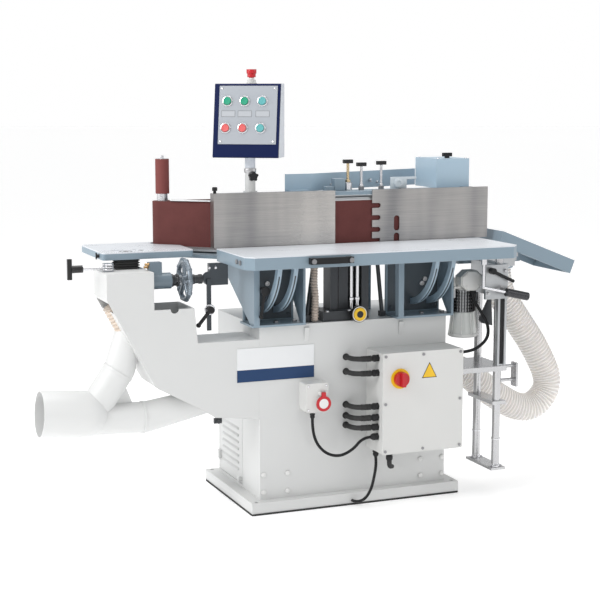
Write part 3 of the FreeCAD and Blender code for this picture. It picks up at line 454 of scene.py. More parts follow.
def build_wear_group():
    """Rubbed edges, where the coat has gone thin."""
    colour = "NodeSocketColor"
    number = "NodeSocketFloat"
    tree, given, out = new_group(
        "Edge Wear",
        [("Colour", colour, (0.5, 0.5, 0.5, 1.0)), ("Worn Colour", colour, (0.7, 0.7, 0.7, 1.0)),
         ("Width", number, 0.002), ("Amount", number, 0.5)],
        [("Colour", colour), ("Mask", number)])
    rounded = add_node(tree, "ShaderNodeBevel", samples=4)
    tree.links.new(given.outputs["Width"], rounded.inputs["Radius"])
    facing = add_node(tree, "ShaderNodeNewGeometry")
    meet = add_node(tree, "ShaderNodeVectorMath", operation="DOT_PRODUCT")
    tree.links.new(rounded.outputs[0], meet.inputs[0])
    tree.links.new(facing.outputs["True Normal"], meet.inputs[1])
    edge = calculate(tree, "SUBTRACT", 1.0, meet.outputs["Value"], clamp=True)
    edge = calculate(tree, "MULTIPLY", edge, 5.0, clamp=True)
    patchy = add_node(tree, "ShaderNodeTexNoise")
    patchy.inputs["Scale"].default_value = 60.0
    place = add_node(tree, "ShaderNodeTexCoord").outputs["Object"]
    tree.links.new(place, patchy.inputs["Vector"])
    broken = calculate(tree, "MULTIPLY", edge, patchy.outputs["Fac"])
    mask = calculate(tree, "MULTIPLY", broken, given.outputs["Amount"], clamp=True)
    mixed = mix_colour(tree, mask, given.outputs["Colour"], given.outputs["Worn Colour"])
    tree.links.new(mixed, out.inputs["Colour"])
    tree.links.new(mask, out.inputs["Mask"])
    return tree


def build_dust_group():
    """A thin film of fine dust on faces that look up."""
    colour = "NodeSocketColor"
    number = "NodeSocketFloat"
    tree, given, out = new_group(
        "Settled Dust",
        [("Colour", colour, (0.5, 0.5, 0.5, 1.0)), ("Dust Colour", colour, (0.62, 0.57, 0.50, 1.0)),
         ("Amount", number, 0.1)],
        [("Colour", colour), ("Mask", number)])
    facing = add_node(tree, "ShaderNodeNewGeometry")
    parts = add_node(tree, "ShaderNodeSeparateXYZ")
    tree.links.new(facing.outputs["Normal"], parts.inputs[0])
    upward = calculate(tree, "SUBTRACT", parts.outputs["Z"], 0.55, clamp=True)
    cloud = add_node(tree, "ShaderNodeTexNoise")
    cloud.inputs["Scale"].default_value = 14.0
    cloud.inputs["Detail"].default_value = 6.0
    place = add_node(tree, "ShaderNodeTexCoord").outputs["Object"]
    tree.links.new(place, cloud.inputs["Vector"])
    patch = calculate(tree, "MULTIPLY", upward, cloud.outputs["Fac"])
    patch = calculate(tree, "MULTIPLY", patch, 3.0)
    mask = calculate(tree, "MULTIPLY", patch, given.outputs["Amount"], clamp=True)
    mixed = mix_colour(tree, mask, given.outputs["Colour"], given.outputs["Dust Colour"])
    tree.links.new(mixed, out.inputs["Colour"])
    tree.links.new(mask, out.inputs["Mask"])
    return tree


def build_grit_group():
    """Abrasive grains on cloth."""
    colour = "NodeSocketColor"
    number = "NodeSocketFloat"
    tree, given, out = new_group(
        "Abrasive Grit",
        [("Colour", colour, (0.2, 0.05, 0.05, 1.0)), ("Gap Colour", colour, (0.08, 0.02, 0.02, 1.0)),
         ("Grains per Metre", number, 1100.0)],
        [("Colour", colour), ("Roughness", number), ("Height", number)])
    place = add_node(tree, "ShaderNodeTexCoord").outputs["Object"]
    cells = add_node(tree, "ShaderNodeTexVoronoi")
    tree.links.new(place, cells.inputs["Vector"])
    tree.links.new(given.outputs["Grains per Metre"], cells.inputs["Scale"])
    slow = add_node(tree, "ShaderNodeTexNoise")
    slow.inputs["Scale"].default_value = 24.0
    slow.inputs["Detail"].default_value = 4.0
    tree.links.new(place, slow.inputs["Vector"])
    share = mix_value(tree, 0.5, cells.outputs["Distance"], slow.outputs["Fac"])
    mixed = mix_colour(tree, share, given.outputs["Colour"], given.outputs["Gap Colour"])
    rough = mix_value(tree, cells.outputs["Distance"], 0.55, 0.9)
    height = calculate(tree, "SUBTRACT", 1.0, cells.outputs["Distance"], clamp=True)
    tree.links.new(mixed, out.inputs["Colour"])
    tree.links.new(rough, out.inputs["Roughness"])
    tree.links.new(height, out.inputs["Height"])
    return tree


def build_border_group():
    """One side of a flat border between two finishes on one piece."""
    number = "NodeSocketFloat"
    tree, given, out = new_group(
        "Finish Border",
        [("Direction", "NodeSocketVector", (0.0, 0.0, 1.0)), ("Place", number, 0.0)],
        [("Mask", number)])
    place = add_node(tree, "ShaderNodeTexCoord").outputs["Object"]
    meet = add_node(tree, "ShaderNodeVectorMath", operation="DOT_PRODUCT")
    tree.links.new(place, meet.inputs[0])
    tree.links.new(given.outputs["Direction"], meet.inputs[1])
    beyond = calculate(tree, "GREATER_THAN", meet.outputs["Value"], given.outputs["Place"])
    tree.links.new(beyond, out.inputs["Mask"])
    return tree


def build_round_group():
    """The inside of a round border, seen along an axis."""
    number = "NodeSocketFloat"
    tree, given, out = new_group(
        "Round Border",
        [("Centre", "NodeSocketVector", (0.0, 0.0, 0.0)), ("Plane", "NodeSocketVector", (1.0, 0.0, 1.0)),
         ("Radius", number, 0.01)],
        [("Mask", number)])
    place = add_node(tree, "ShaderNodeTexCoord").outputs["Object"]
    away = add_node(tree, "ShaderNodeVectorMath", operation="SUBTRACT")
    tree.links.new(place, away.inputs[0])
    tree.links.new(given.outputs["Centre"], away.inputs[1])
    flat = add_node(tree, "ShaderNodeVectorMath", operation="MULTIPLY")
    tree.links.new(away.outputs[0], flat.inputs[0])
    tree.links.new(given.outputs["Plane"], flat.inputs[1])
    far = add_node(tree, "ShaderNodeVectorMath", operation="LENGTH")
    tree.links.new(flat.outputs[0], far.inputs[0])
    inside = calculate(tree, "LESS_THAN", far.outputs["Value"], given.outputs["Radius"])
    tree.links.new(inside, out.inputs["Mask"])
    return tree


GROUP_MAKERS = {
    "Surface Grain": build_grain_group,
    "Edge Wear": build_wear_group,
    "Settled Dust": build_dust_group,
    "Abrasive Grit": build_grit_group,
    "Finish Border": build_border_group,
    "Round Border": build_round_group,
}


def place_group(tree, name, **values):
    made = tree.nodes.new("ShaderNodeGroup")
    made.node_tree = bpy.data.node_groups.get(name) or GROUP_MAKERS[name]()
    for label, value in values.items():
        socket = made.inputs[label.replace("_", " ")]
        if isinstance(value, bpy.types.NodeSocket):
            tree.links.new(value, socket)
        elif socket.type == "RGBA":
            socket.default_value = (*value[:3], 1.0)
        else:
            socket.default_value = value
    return made


# ---- materials ----
WEAR_WIDTH = 0.0022
STEEL = (0.56, 0.56, 0.57)
CHROME = (0.72, 0.72, 0.74)


def shade(colour, factor):
    """The same colour, darker or lighter."""
    return tuple(min(1.0, channel * factor) for channel in colour[:3])


def skin_of(material):
    """The surface shader of a finish."""
    return next(node for node in material.node_tree.nodes if node.type == "BSDF_PRINCIPLED")


def finish(name, colour, second=None, stretch=(1.0, 1.0, 1.0), grain=450.0, drift=5.0, change=0.35,
           smooth=(0.35, 0.5), metal=0.0, bump=0.12, bump_depth=0.0004, worn=None, wear=0.0,
           dust=0.0, bands=(), rounding=True, coat=0.0, subsurface=0.0, gloss=0.5,
           drift_stretch=(1.0, 1.0, 1.0), fine_share=0.45):
    """One material: grain, edge wear, dust, then any bands of another finish on the same piece."""
    found = bpy.data.materials.get(name)
    if found:
        return found
    material = bpy.data.materials.new(name)
    material.use_nodes = True
    tree = material.node_tree
    tree.nodes.clear()
    out = tree.nodes.new("ShaderNodeOutputMaterial")
    skin = tree.nodes.new("ShaderNodeBsdfPrincipled")
    tree.links.new(skin.outputs[0], out.inputs[0])
    grains = place_group(
        tree, "Surface Grain", Colour=colour, Second_Colour=second or shade(colour, 0.82),
        Stretch=stretch, Grain_Count=grain, Drift_Stretch=drift_stretch, Drift_Count=drift,
        Fine_Share=fine_share, Change=change, Smoothest=smooth[0], Roughest=smooth[1])
    shown = grains.outputs["Colour"]
    rough = grains.outputs["Roughness"]
    metallic = metal
    if wear > 0.0:
        rubbed = place_group(tree, "Edge Wear", Colour=shown, Worn_Colour=worn or shade(colour, 1.5),
                             Width=WEAR_WIDTH, Amount=wear)
        shown = rubbed.outputs["Colour"]
    for border, second_colour, second_metal, second_rough in bands:
        if len(border) == 2:
            mask = place_group(tree, "Finish Border", Direction=border[0], Place=border[1]).outputs[0]
        else:
            mask = place_group(tree, "Round Border", Centre=border[0], Plane=border[1],
                               Radius=border[2]).outputs[0]
        band = place_group(
            tree, "Surface Grain", Colour=second_colour, Second_Colour=shade(second_colour, 0.8),
            Grain_Count=grain, Drift_Count=drift, Change=change,
            Smoothest=second_rough * 0.8, Roughest=min(1.0, second_rough * 1.2))
        shown = mix_colour(tree, mask, shown, band.outputs["Colour"])
        rough = mix_value(tree, mask, rough, band.outputs["Roughness"])
        if metallic != second_metal or not isinstance(metallic, (int, float)):
            metallic = mix_value(tree, mask, metallic, second_metal)
    if dust > 0.0:
        film = place_group(tree, "Settled Dust", Colour=shown, Amount=dust)
        shown = film.outputs["Colour"]
    tree.links.new(shown, skin.inputs["Base Color"])
    tree.links.new(rough, skin.inputs["Roughness"])
    if isinstance(metallic, (int, float)):
        skin.inputs["Metallic"].default_value = metallic
    else:
        tree.links.new(metallic, skin.inputs["Metallic"])
    skin.inputs["Coat Weight"].default_value = coat
    skin.inputs["Specular IOR Level"].default_value = gloss
    if subsurface > 0.0:
        skin.inputs["Subsurface Weight"].default_value = subsurface
        skin.inputs["Subsurface Radius"].default_value = (0.02, 0.018, 0.015)
    raised = add_node(tree, "ShaderNodeBump")
    raised.inputs["Strength"].default_value = bump
    raised.inputs["Distance"].default_value = bump_depth
    tree.links.new(grains.outputs["Height"], raised.inputs["Height"])
    if rounding:
        soft = add_node(tree, "ShaderNodeBevel", samples=4)
        soft.inputs["Radius"].default_value = sizes().edge_round
        tree.links.new(soft.outputs[0], raised.inputs["Normal"])
    tree.links.new(raised.outputs[0], skin.inputs["Normal"])
    return material


def abrasive(name, colour, bands=()):
    """Brown abrasive cloth; a band of bare metal where the same piece has one."""
    found = bpy.data.materials.get(name)
    if found:
        return found
    material = bpy.data.materials.new(name)
    material.use_nodes = True
    tree = material.node_tree
    tree.nodes.clear()
    out = tree.nodes.new("ShaderNodeOutputMaterial")
    skin = tree.nodes.new("ShaderNodeBsdfPrincipled")
    tree.links.new(skin.outputs[0], out.inputs[0])
    grit = place_group(tree, "Abrasive Grit", Colour=colour, Gap_Colour=shade(colour, 0.45))
    shown = grit.outputs["Colour"]
    rough = grit.outputs["Roughness"]
    metallic = 0.0
    for border, second_colour, second_metal, second_rough in bands:
        mask = place_group(tree, "Finish Border", Direction=border[0], Place=border[1]).outputs[0]
        shown = mix_colour(tree, mask, shown, second_colour)
        rough = mix_value(tree, mask, rough, second_rough)
        metallic = mix_value(tree, mask, metallic, second_metal)
    tree.links.new(shown, skin.inputs["Base Color"])
    tree.links.new(rough, skin.inputs["Roughness"])
    if not isinstance(metallic, float):
        tree.links.new(metallic, skin.inputs["Metallic"])
    skin.inputs["Specular IOR Level"].default_value = 0.3
    raised = add_node(tree, "ShaderNodeBump")
    raised.inputs["Strength"].default_value = 0.35
    raised.inputs["Distance"].default_value = 0.0003
    tree.links.new(grit.outputs["Height"], raised.inputs["Height"])
    tree.links.new(raised.outputs[0], skin.inputs["Normal"])
    return material


def cabinet_coat():
    return finish("cabinet_powder_coat", colours().cabinet, shade(colours().cabinet, 0.93), grain=900.0,
                  change=0.4, smooth=(0.36, 0.5), bump=0.10, worn=(0.8, 0.8, 0.8), wear=0.25, dust=0.05)


def duct_coat():
    return finish("duct_white_coat", colours().duct, shade(colours().duct, 0.95), grain=700.0,
                  change=0.4, smooth=(0.3, 0.45), bump=0.08)


def machine_coat():
    return finish("grey_blue_machine_paint", colours().paint, shade(colours().paint, 0.84), grain=380.0,
                  change=0.5, smooth=(0.3, 0.46), bump=0.22, worn=(0.5, 0.56, 0.6), wear=0.5, dust=0.08)


def black_plastic():
    return finish("black_moulded_plastic", colours().black, (0.028, 0.028, 0.03), grain=900.0,
                  change=0.5, smooth=(0.25, 0.42), bump=0.12, dust=0.03, gloss=0.3)


def black_rubber():
    return finish("black_rubber", colours().black, (0.03, 0.03, 0.03), grain=700.0, change=0.6,
                  smooth=(0.5, 0.7), bump=0.2, dust=0.04, gloss=0.25)


def ground_steel():
    return finish("ground_steel", STEEL, shade(STEEL, 0.75), stretch=(0.08, 1.0, 1.0), grain=900.0,
                  change=0.5, smooth=(0.24, 0.4), metal=1.0, bump=0.06)


def polished_chrome():
    return finish("polished_chrome", CHROME, shade(CHROME, 0.88), grain=250.0, change=0.3,
                  smooth=(0.08, 0.2), metal=1.0, bump=0.02)


def dark_steel():
    return finish("blackened_steel", (0.035, 0.038, 0.043), (0.07, 0.075, 0.08), grain=500.0,
                  change=0.6, smooth=(0.32, 0.5), metal=0.5, bump=0.12, worn=(0.35, 0.35, 0.36), wear=0.6,
                  dust=0.06)


def brass():
    return finish("turned_brass", (0.62, 0.40, 0.19), (0.45, 0.28, 0.12), grain=500.0, change=0.4,
                  smooth=(0.2, 0.35), metal=1.0, bump=0.05)


def box_coat():
    return finish("enclosure_light_grey", (0.66, 0.66, 0.645), (0.62, 0.62, 0.61), grain=1100.0,
                  change=0.5, smooth=(0.4, 0.55), bump=0.2, worn=(0.75, 0.75, 0.75), wear=0.2, dust=0.05)


def milled_top(name):
    """Machined iron with fine mill marks on top, painted below the top edge."""
    paint = colours().paint
    return finish(name, paint, shade(paint, 0.88), stretch=(0.06, 1.0, 1.0), grain=500.0, drift=6.0,
                  change=0.3, smooth=(0.32, 0.42), bump=0.05, worn=(0.6, 0.63, 0.66), wear=0.4,
                  bands=[((UP, TABLE_TOP - BARE_EDGE), (0.74, 0.77, 0.81), 0.12, 0.30)])


def brushed_fence_painted_reflection():
    # The dark second colour, drawn out in tall upright drifts, is painted reflection; the fine streaks along
    # X are brushing.
    return finish("brushed_aluminium_painted_reflection", (0.68, 0.65, 0.62), (0.17, 0.175, 0.19),
                  stretch=(0.012, 1.0, 1.0), grain=520.0, drift=4.6, change=1.0, smooth=(0.22, 0.38),
                  metal=1.0, bump=0.04, rounding=False, drift_stretch=(1.0, 1.0, 0.16), fine_share=0.2)


def band_finish(name, base, borders, **words):
    """A finish that changes to another one past each border."""
    return finish(name, base, bands=borders, **words)


def knob_on_rod(name, height, rod=CHROME, smooth=(0.12, 0.25)):
    """A bright rod with a black knob from the height upwards."""
    return band_finish(name, rod, [((UP, height), colours().black, 0.0, 0.4)], metal=1.0, smooth=smooth)


# ---- where one piece changes from one finish to another ----
BARE_EDGE = 0.0035
PLATE_BLUE_TOP = 0.4885
SIGN_LEFT = 0.0
INDEX_CENTRE = (0.007, 0.0, 0.654)
INDEX_RIM = 0.0262
INDEX_GAP = 0.0232
INDEX_DIAL = 0.0222
INDEX_HUB = 0.0118
INLET_CENTRE = (-0.146, 0.0, 0.370)
INLET_LABEL = 0.0165
MOTOR_FINS_LOW = 0.6385
MOTOR_FINS_HIGH = 0.7165
LOCK_CORNER = Vector((0.400, -0.372, 0.742))
LOCK_SLOPE = math.radians(13.0)
LOCK_BARE_ROD = 0.089
ROLLER_NECK_LOW = 1.0262
ROLLER_SLEEVE_LOW = 1.0512
ROLLER_SLEEVE_HIGH = 1.1689
TALL_KNOB_LOW = 1.1495
SECOND_KNOB_LOW = 1.1385
THIRD_KNOB_LOW = 1.1425
PANEL_FRONT_SHELL = 0.009
GEARBOX_LEFT = -0.8
HANGER_LEFT = -0.53
LOCK_ROD_LEFT = -0.9135
PLUGS_TOP = 0.16
STOP_STEM_RISE = 0.019
BUTTON_COLOURS = {"green": (0.010, 0.330, 0.190), "teal": (0.110, 0.420, 0.430),
                  "red": (0.700, 0.120, 0.120)}


def node_finishes():
    """The finish of each node of the solid model."""
    c = colours()
    out = panel_out()
    front = face_place(0.0, PANEL_LOW).dot(out)
    lock_way = (math.cos(LOCK_SLOPE), 0.0, -math.sin(LOCK_SLOPE))
    lock_grip = LOCK_CORNER.dot(Vector(lock_way)) + LOCK_BARE_ROD
    made = {
        "base_skid": black_rubber(), "cabinet_shell": cabinet_coat(), "side_door": cabinet_coat(),
        "spindle_arm": cabinet_coat(), "dust_fittings": duct_coat(), "table_housings": machine_coat(),
        "arc_rails": finish("arc_rail_paint", shade(c.paint, 1.35), shade(c.paint, 1.1), grain=500.0,
                            change=0.4, smooth=(0.28, 0.4), bump=0.1, worn=STEEL, wear=0.5),
        "main_table": milled_top("milled_main_table"), "left_end_table": milled_top("milled_end_table"),
        "table_handle": black_plastic(), "lift_column": dark_steel(),
        "index_knob": band_finish(
            "indicator_rings", c.black,
            [((INDEX_CENTRE, FRONT_PLANE, INDEX_RIM), (0.80, 0.80, 0.78), 0.0, 0.35),
             ((INDEX_CENTRE, FRONT_PLANE, INDEX_GAP), c.black, 0.0, 0.35),
             ((INDEX_CENTRE, FRONT_PLANE, INDEX_DIAL), c.yellow, 0.0, 0.35),
             ((INDEX_CENTRE, FRONT_PLANE, INDEX_HUB), c.black, 0.0, 0.4)],
            smooth=(0.25, 0.4)),
        "electrical_box": box_coat(), "electrical_box_lid": box_coat(),
        "main_switch_knob": finish("red_switch_plastic", c.red, shade(c.red, 0.7), grain=900.0,
                                   smooth=(0.25, 0.4), bump=0.06),
        "plates": band_finish(
            "printed_plates", (0.012, 0.045, 0.130),
            [((UP, PLATE_BLUE_TOP), (0.80, 0.81, 0.82), 0.0, 0.35),
             ((RIGHT, SIGN_LEFT), c.yellow, 0.0, 0.4)],
            smooth=(0.3, 0.45), grain=900.0, bump=0.03, gloss=0.3),
        "inlet_box": box_coat(),
        "inlet_flap": band_finish(
            "inlet_cap", c.red, [((INLET_CENTRE, FRONT_PLANE, INLET_LABEL), (0.78, 0.78, 0.76), 0.0, 0.4)],
            smooth=(0.28, 0.42)),
        "gear_motor": band_finish(
            "gear_motor_coat", (0.66, 0.68, 0.66),
            [((UP, MOTOR_FINS_LOW), (0.40, 0.41, 0.42), 0.6, 0.3),
             ((UP, MOTOR_FINS_HIGH), (0.58, 0.58, 0.56), 0.3, 0.3)],
            smooth=(0.12, 0.28), bump=0.10, wear=0.2, metal=0.35),
        "stand_columns": finish("stand_steel", STEEL, stretch=(1.0, 1.0, 0.05), grain=900.0, metal=1.0,
                                smooth=(0.16, 0.34), bump=0.05, change=0.5),
        "stand_slide": finish("milled_slide", (0.52, 0.53, 0.54), (0.34, 0.36, 0.38), grain=300.0,
                              change=0.6, smooth=(0.26, 0.42), metal=0.85, bump=0.1, worn=CHROME,
                              wear=0.4),
        "stand_clamp_lever": black_plastic(),
        "lock_handle": band_finish(
            "lock_handle_finish", CHROME, [((lock_way, lock_grip), (0.05, 0.05, 0.055), 0.6, 0.28)],
            metal=1.0, smooth=(0.1, 0.22)),
        "right_end_table": machine_coat(), "unit_frame": machine_coat(),
        # The guards take the machine paint made 1.7 times lighter: a lit copy of the same paint, painted
        # light.
        "guards": finish("guard_paint_painted_light", shade(c.paint, 1.7), shade(c.paint, 1.45), grain=380.0,
                         change=0.5, smooth=(0.26, 0.4), bump=0.2, worn=(0.7, 0.75, 0.8), wear=0.5,
                         dust=0.05),
        "sanding_belt": abrasive("brown_abrasive_belt", c.belt),
        "contour_roller": abrasive(
            "brown_abrasive_sleeve", shade(c.belt, 1.15),
            [((UP, ROLLER_NECK_LOW), CHROME, 1.0, 0.18),
             ((UP, ROLLER_SLEEVE_LOW), shade(c.belt, 1.15), 0.0, 0.75),
             ((UP, ROLLER_SLEEVE_HIGH), CHROME, 1.0, 0.18)]),
        "belt_carriage": finish("carriage_light_steel", (0.60, 0.61, 0.62), (0.48, 0.49, 0.50),
                                grain=400.0, change=0.5, smooth=(0.28, 0.42), metal=0.6, bump=0.08),
        "drive_roller": ground_steel(), "front_idler": ground_steel(),
        "fence_left": brushed_fence_painted_reflection(), "fence_right": brushed_fence_painted_reflection(),
        "top_knob_1": knob_on_rod("tall_knob", TALL_KNOB_LOW, (0.66, 0.52, 0.33), (0.14, 0.26)),
        "top_knob_2": knob_on_rod("second_knob", SECOND_KNOB_LOW),
        "top_knob_3": knob_on_rod("third_knob", THIRD_KNOB_LOW), "top_knob_4": black_plastic(),
        "panel_post": finish("post_light_grey", (0.62, 0.625, 0.62), (0.54, 0.545, 0.54), grain=800.0,
                             change=0.5, smooth=(0.35, 0.5), bump=0.12, wear=0.3),
        "post_knob": black_plastic(),
        "panel_housing": band_finish(
            "panel_two_colour", (0.66, 0.69, 0.74),
            [((tuple(out), front - PANEL_FRONT_SHELL), c.panel, 0.0, 0.33)], smooth=(0.3, 0.42),
            grain=800.0, bump=0.1, change=0.3, gloss=0.15),
        # Right of GEARBOX_LEFT the gearbox takes the machine paint made darker, a shaded copy of it: painted
        # shade.
        "left_gearbox": band_finish(
            "gearbox_paint_painted_shade", (0.36, 0.38, 0.41),
            [((RIGHT, GEARBOX_LEFT), shade(c.paint, 0.62), 0.0, 0.33),
             ((RIGHT, HANGER_LEFT), (0.045, 0.055, 0.065), 0.2, 0.35)],
            metal=1.0, smooth=(0.14, 0.3), bump=0.12),
        "handwheel": finish("handwheel_grey", (0.23, 0.27, 0.31), (0.15, 0.18, 0.21), grain=300.0,
                            change=0.6, smooth=(0.2, 0.36), metal=0.5, bump=0.12, worn=CHROME, wear=0.9),
        "left_lock_knob": band_finish(
            "left_lock_finish", c.black, [((RIGHT, LOCK_ROD_LEFT), CHROME, 1.0, 0.2)],
            smooth=(0.3, 0.45)),
        "left_clamp_lever": black_plastic(), "housing_clamp_lever": black_plastic(),
        "fasteners": band_finish(
            "fastener_finish", (0.66, 0.665, 0.66), [((UP, PLUGS_TOP), (0.30, 0.30, 0.31), 0.9, 0.3)],
            smooth=(0.3, 0.45), bump=0.05),
        "estop_button": band_finish(
            "stop_button_finish", (0.75, 0.75, 0.73),
            [((UP, PANEL_HIGH + STOP_STEM_RISE), c.red, 0.0, 0.3)], smooth=(0.25, 0.4)),
    }
    for name in BUTTON_PLACES:
        kind = name.split("_")[1]
        made[name] = finish("button_" + kind, BUTTON_COLOURS[kind], shade(BUTTON_COLOURS[kind], 0.8),
                            grain=900.0, smooth=(0.22, 0.35), bump=0.04)
    return made


# ---- the floor, the lights and the camera ----
FLOOR_REACH = 60.0
FLOOR_THICK = 0.02
FLOOR_GLOW = 0.26
MACHINE_MIDDLE = Vector((-0.05, 0.0, 0.7))
LIGHTS = (
    ("key_left", (-3.6, -1.2, 3.0), 62.0, 1.6), ("side_left", (-6.4, 1.0, 2.2), 60.0, 1.6),
    ("fill_right", (3.2, -2.4, 2.2), 14.0, 1.8), ("top", (0.2, 0.6, 4.2), 60.0, 2.4),
    ("front", (-0.8, -5.0, 2.6), 4.0, 2.0),
)
CAMERA_PLACE = (-1.9868, -4.5856, 1.3918)
CAMERA_DIP = 8.2
CAMERA_TURN = -22.2
CAMERA_LENS = 86.4
SENSOR_WIDTH = 36.0


# ---- what each part of the work makes ----
class StageOperator(bpy.types.Operator):
    """Lays the pale floor, and sets the soft lights and the camera."""
    bl_idname = "sander.stage"
    bl_label = "Floor, lights and camera"

    def execute(self, context):
        bm = bmesh.new()
        slab(bm, [(-FLOOR_REACH, -FLOOR_REACH, -FLOOR_THICK), (FLOOR_REACH, -FLOOR_REACH, -FLOOR_THICK),
                  (FLOOR_REACH, FLOOR_REACH, -FLOOR_THICK), (-FLOOR_REACH, FLOOR_REACH, -FLOOR_THICK)],
             (0, 0, FLOOR_THICK))
        pale = finish("pale_floor", (0.94, 0.94, 0.94), (0.92, 0.92, 0.92), grain=60.0, drift=1.0,
                      change=0.3, smooth=(0.55, 0.7), bump=0.02, rounding=False)
        glow = skin_of(pale)
        glow.inputs["Emission Color"].default_value = (1.0, 1.0, 1.0, 1.0)
        glow.inputs["Emission Strength"].default_value = FLOOR_GLOW
        floor = piece("studio_floor", bm, pale, None)
        world = bpy.data.worlds.new("soft_studio")
        world.use_nodes = True
        self.studio(world.node_tree)
        context.scene.world = world
        for name, place, power, width in LIGHTS:
            data = bpy.data.lights.new(name, "AREA")
            data.energy = power
            data.size = width
            lamp = bpy.data.objects.new(name, data)
            lamp.location = place
            aim = MACHINE_MIDDLE - Vector(place)
            lamp.rotation_euler = aim.to_track_quat("-Z", "Y").to_euler()
            context.scene.collection.objects.link(lamp)
        lens = bpy.data.cameras.new("front_left_camera")
        lens.lens = CAMERA_LENS
        lens.sensor_width = SENSOR_WIDTH
        lens.clip_end = FLOOR_REACH
        camera = bpy.data.objects.new("front_left_camera", lens)
        camera.location = CAMERA_PLACE
        camera.rotation_euler = (math.radians(90.0 - CAMERA_DIP), 0.0, math.radians(CAMERA_TURN))
        context.scene.collection.objects.link(camera)
        context.scene.camera = camera
        context.scene.view_settings.view_transform = "Standard"
        return {"FINISHED"}

    def studio(self, tree):
        """A white room that is brighter overhead and uneven round the walls, for lively reflections."""
        place = add_node(tree, "ShaderNodeTexCoord").outputs["Generated"]
        parts = add_node(tree, "ShaderNodeSeparateXYZ")
        tree.links.new(place, parts.inputs[0])
        rise = add_node(tree, "ShaderNodeValToRGB")
        rise.color_ramp.elements[0].position = 0.0
        rise.color_ramp.elements[0].color = (0.42, 0.43, 0.44, 1.0)
        rise.color_ramp.elements[1].position = 0.55
        rise.color_ramp.elements[1].color = (1.0, 1.0, 1.0, 1.0)
        tree.links.new(parts.outputs["Z"], rise.inputs["Fac"])
        walls = add_node(tree, "ShaderNodeTexNoise")
        walls.inputs["Scale"].default_value = 1.9
        walls.inputs["Detail"].default_value = 1.0
        tree.links.new(place, walls.inputs["Vector"])
        uneven = calculate(tree, "MULTIPLY_ADD", walls.outputs["Fac"], 3.4)
        uneven.node.inputs[2].default_value = -0.85
        uneven = calculate(tree, "MAXIMUM", uneven, 0.25)
        uneven = calculate(tree, "MINIMUM", uneven, 1.25)
        room = add_node(tree, "ShaderNodeVectorMath", operation="SCALE")
        tree.links.new(rise.outputs["Color"], room.inputs[0])
        tree.links.new(uneven, room.inputs["Scale"])
        seen = add_node(tree, "ShaderNodeLightPath").outputs["Is Camera Ray"]
        shown = mix_colour(tree, seen, room.outputs[0], (1.0, 1.0, 1.0))
        tree.links.new(shown, tree.nodes["Background"].inputs[0])
        tree.nodes["Background"].inputs[1].default_value = 1.0


class FinishesOperator(bpy.types.Operator):
    """Gives every node of the solid model its own finish."""
    bl_idname = "sander.finishes"
    bl_label = "Finishes of the solid parts"

    def execute(self, context):
        for node, material in node_finishes().items():
            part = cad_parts[node]
            if not part.material_slots:
                raise RuntimeError(node + " has no material slot to fill")
            for place in part.material_slots:
                place.material = material
        return {"FINISHED"}


HOSE_SIDES = 56
RIB_SHARPNESS = 1.6
STEPS_PER_RIB = 6


class HoseOperator(bpy.types.Operator):
    """Makes the ribbed dust hose."""
    bl_idname = "sander.hose"
    bl_label = "Dust hose"

    def execute(self, context):
        pitch = sizes().rib_pitch
        deep = sizes().rib_depth
        outer = sizes().hose_diameter / 2
        line = evenly(route_line("dust_hose", HOSE_ROUTE), pitch / STEPS_PER_RIB)

        def wave(along, turn):
            return 0.5 + 0.5 * math.cos(2 * math.pi * along / pitch - turn)

        bm = bmesh.new()
        sweep(bm, line, lambda along, turn: outer - deep * (1.0 - wave(along, turn) ** RIB_SHARPNESS),
              sides=HOSE_SIDES)
        hose = piece("ribbed_dust_hose", bm, self.milky(), None, crease=80.0)
        self.mark_ribs(hose, line, outer, deep)
        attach(hose, "machine")
        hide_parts("dust_hose")
        return {"FINISHED"}

    def mark_ribs(self, hose, line, outer, deep):
        """Notes for the finish how near each point is to the crest of a rib."""
        crest = hose.data.attributes.new("rib", "FLOAT", "POINT")
        values = []
        for k, vertex in enumerate(hose.data.vertices):
            middle = line[min(k // HOSE_SIDES, len(line) - 1)]
            values.append(((vertex.co - middle).length - outer + deep) / deep)
        crest.data.foreach_set("value", values)

    def milky(self):
        """Milky soft plastic, with the wound rib whiter than the film between."""
        material = finish("milky_hose_film", colours().hose, shade(colours().hose, 0.88), grain=160.0,
                          change=0.5, smooth=(0.26, 0.42), bump=0.08, subsurface=0.4, rounding=False)
        tree = material.node_tree
        skin = skin_of(material)
        rib = add_node(tree, "ShaderNodeAttribute", attribute_name="rib")
        before = skin.inputs["Base Color"].links[0].from_socket
        darker = add_node(tree, "ShaderNodeMix", data_type="RGBA", blend_type="MULTIPLY")
        darker.inputs[0].default_value = 1.0
        tree.links.new(before, darker.inputs[6])
        film = mix_colour(tree, rib.outputs["Fac"], (0.90, 0.87, 0.85), (1.0, 1.0, 1.0))
        tree.links.new(film, darker.inputs[7])
        tree.links.new(darker.outputs[2], skin.inputs["Base Color"])
        clear = mix_value(tree, rib.outputs["Fac"], 0.62, 0.97)
        tree.links.new(clear, skin.inputs["Alpha"])
        return material


CONTROL_DROP = 0.006
BOOT_RIBBED_LENGTH = 0.030
BOOT_NECK_LENGTH = 0.034
BOOT_RIB_PITCH = 0.0042
BOOT_RIB_HEIGHT = 0.0010
BOOT_RADIUS = 0.0098
BOOT_NECK_RADIUS = 0.0090
SLEEVE_RADIUS = 0.0087
BOOT_STEP = 0.0012


def control_route(height):
    """From a gland's mouth to the left, then back to the cabinet's front."""
    return [(GLAND_MOUTH_X, GLAND_LINE_Y, height), (-0.018, GLAND_LINE_Y, height),
            (-0.034, -0.252, height - CONTROL_DROP), (-0.034, -0.210, height - CONTROL_DROP)]


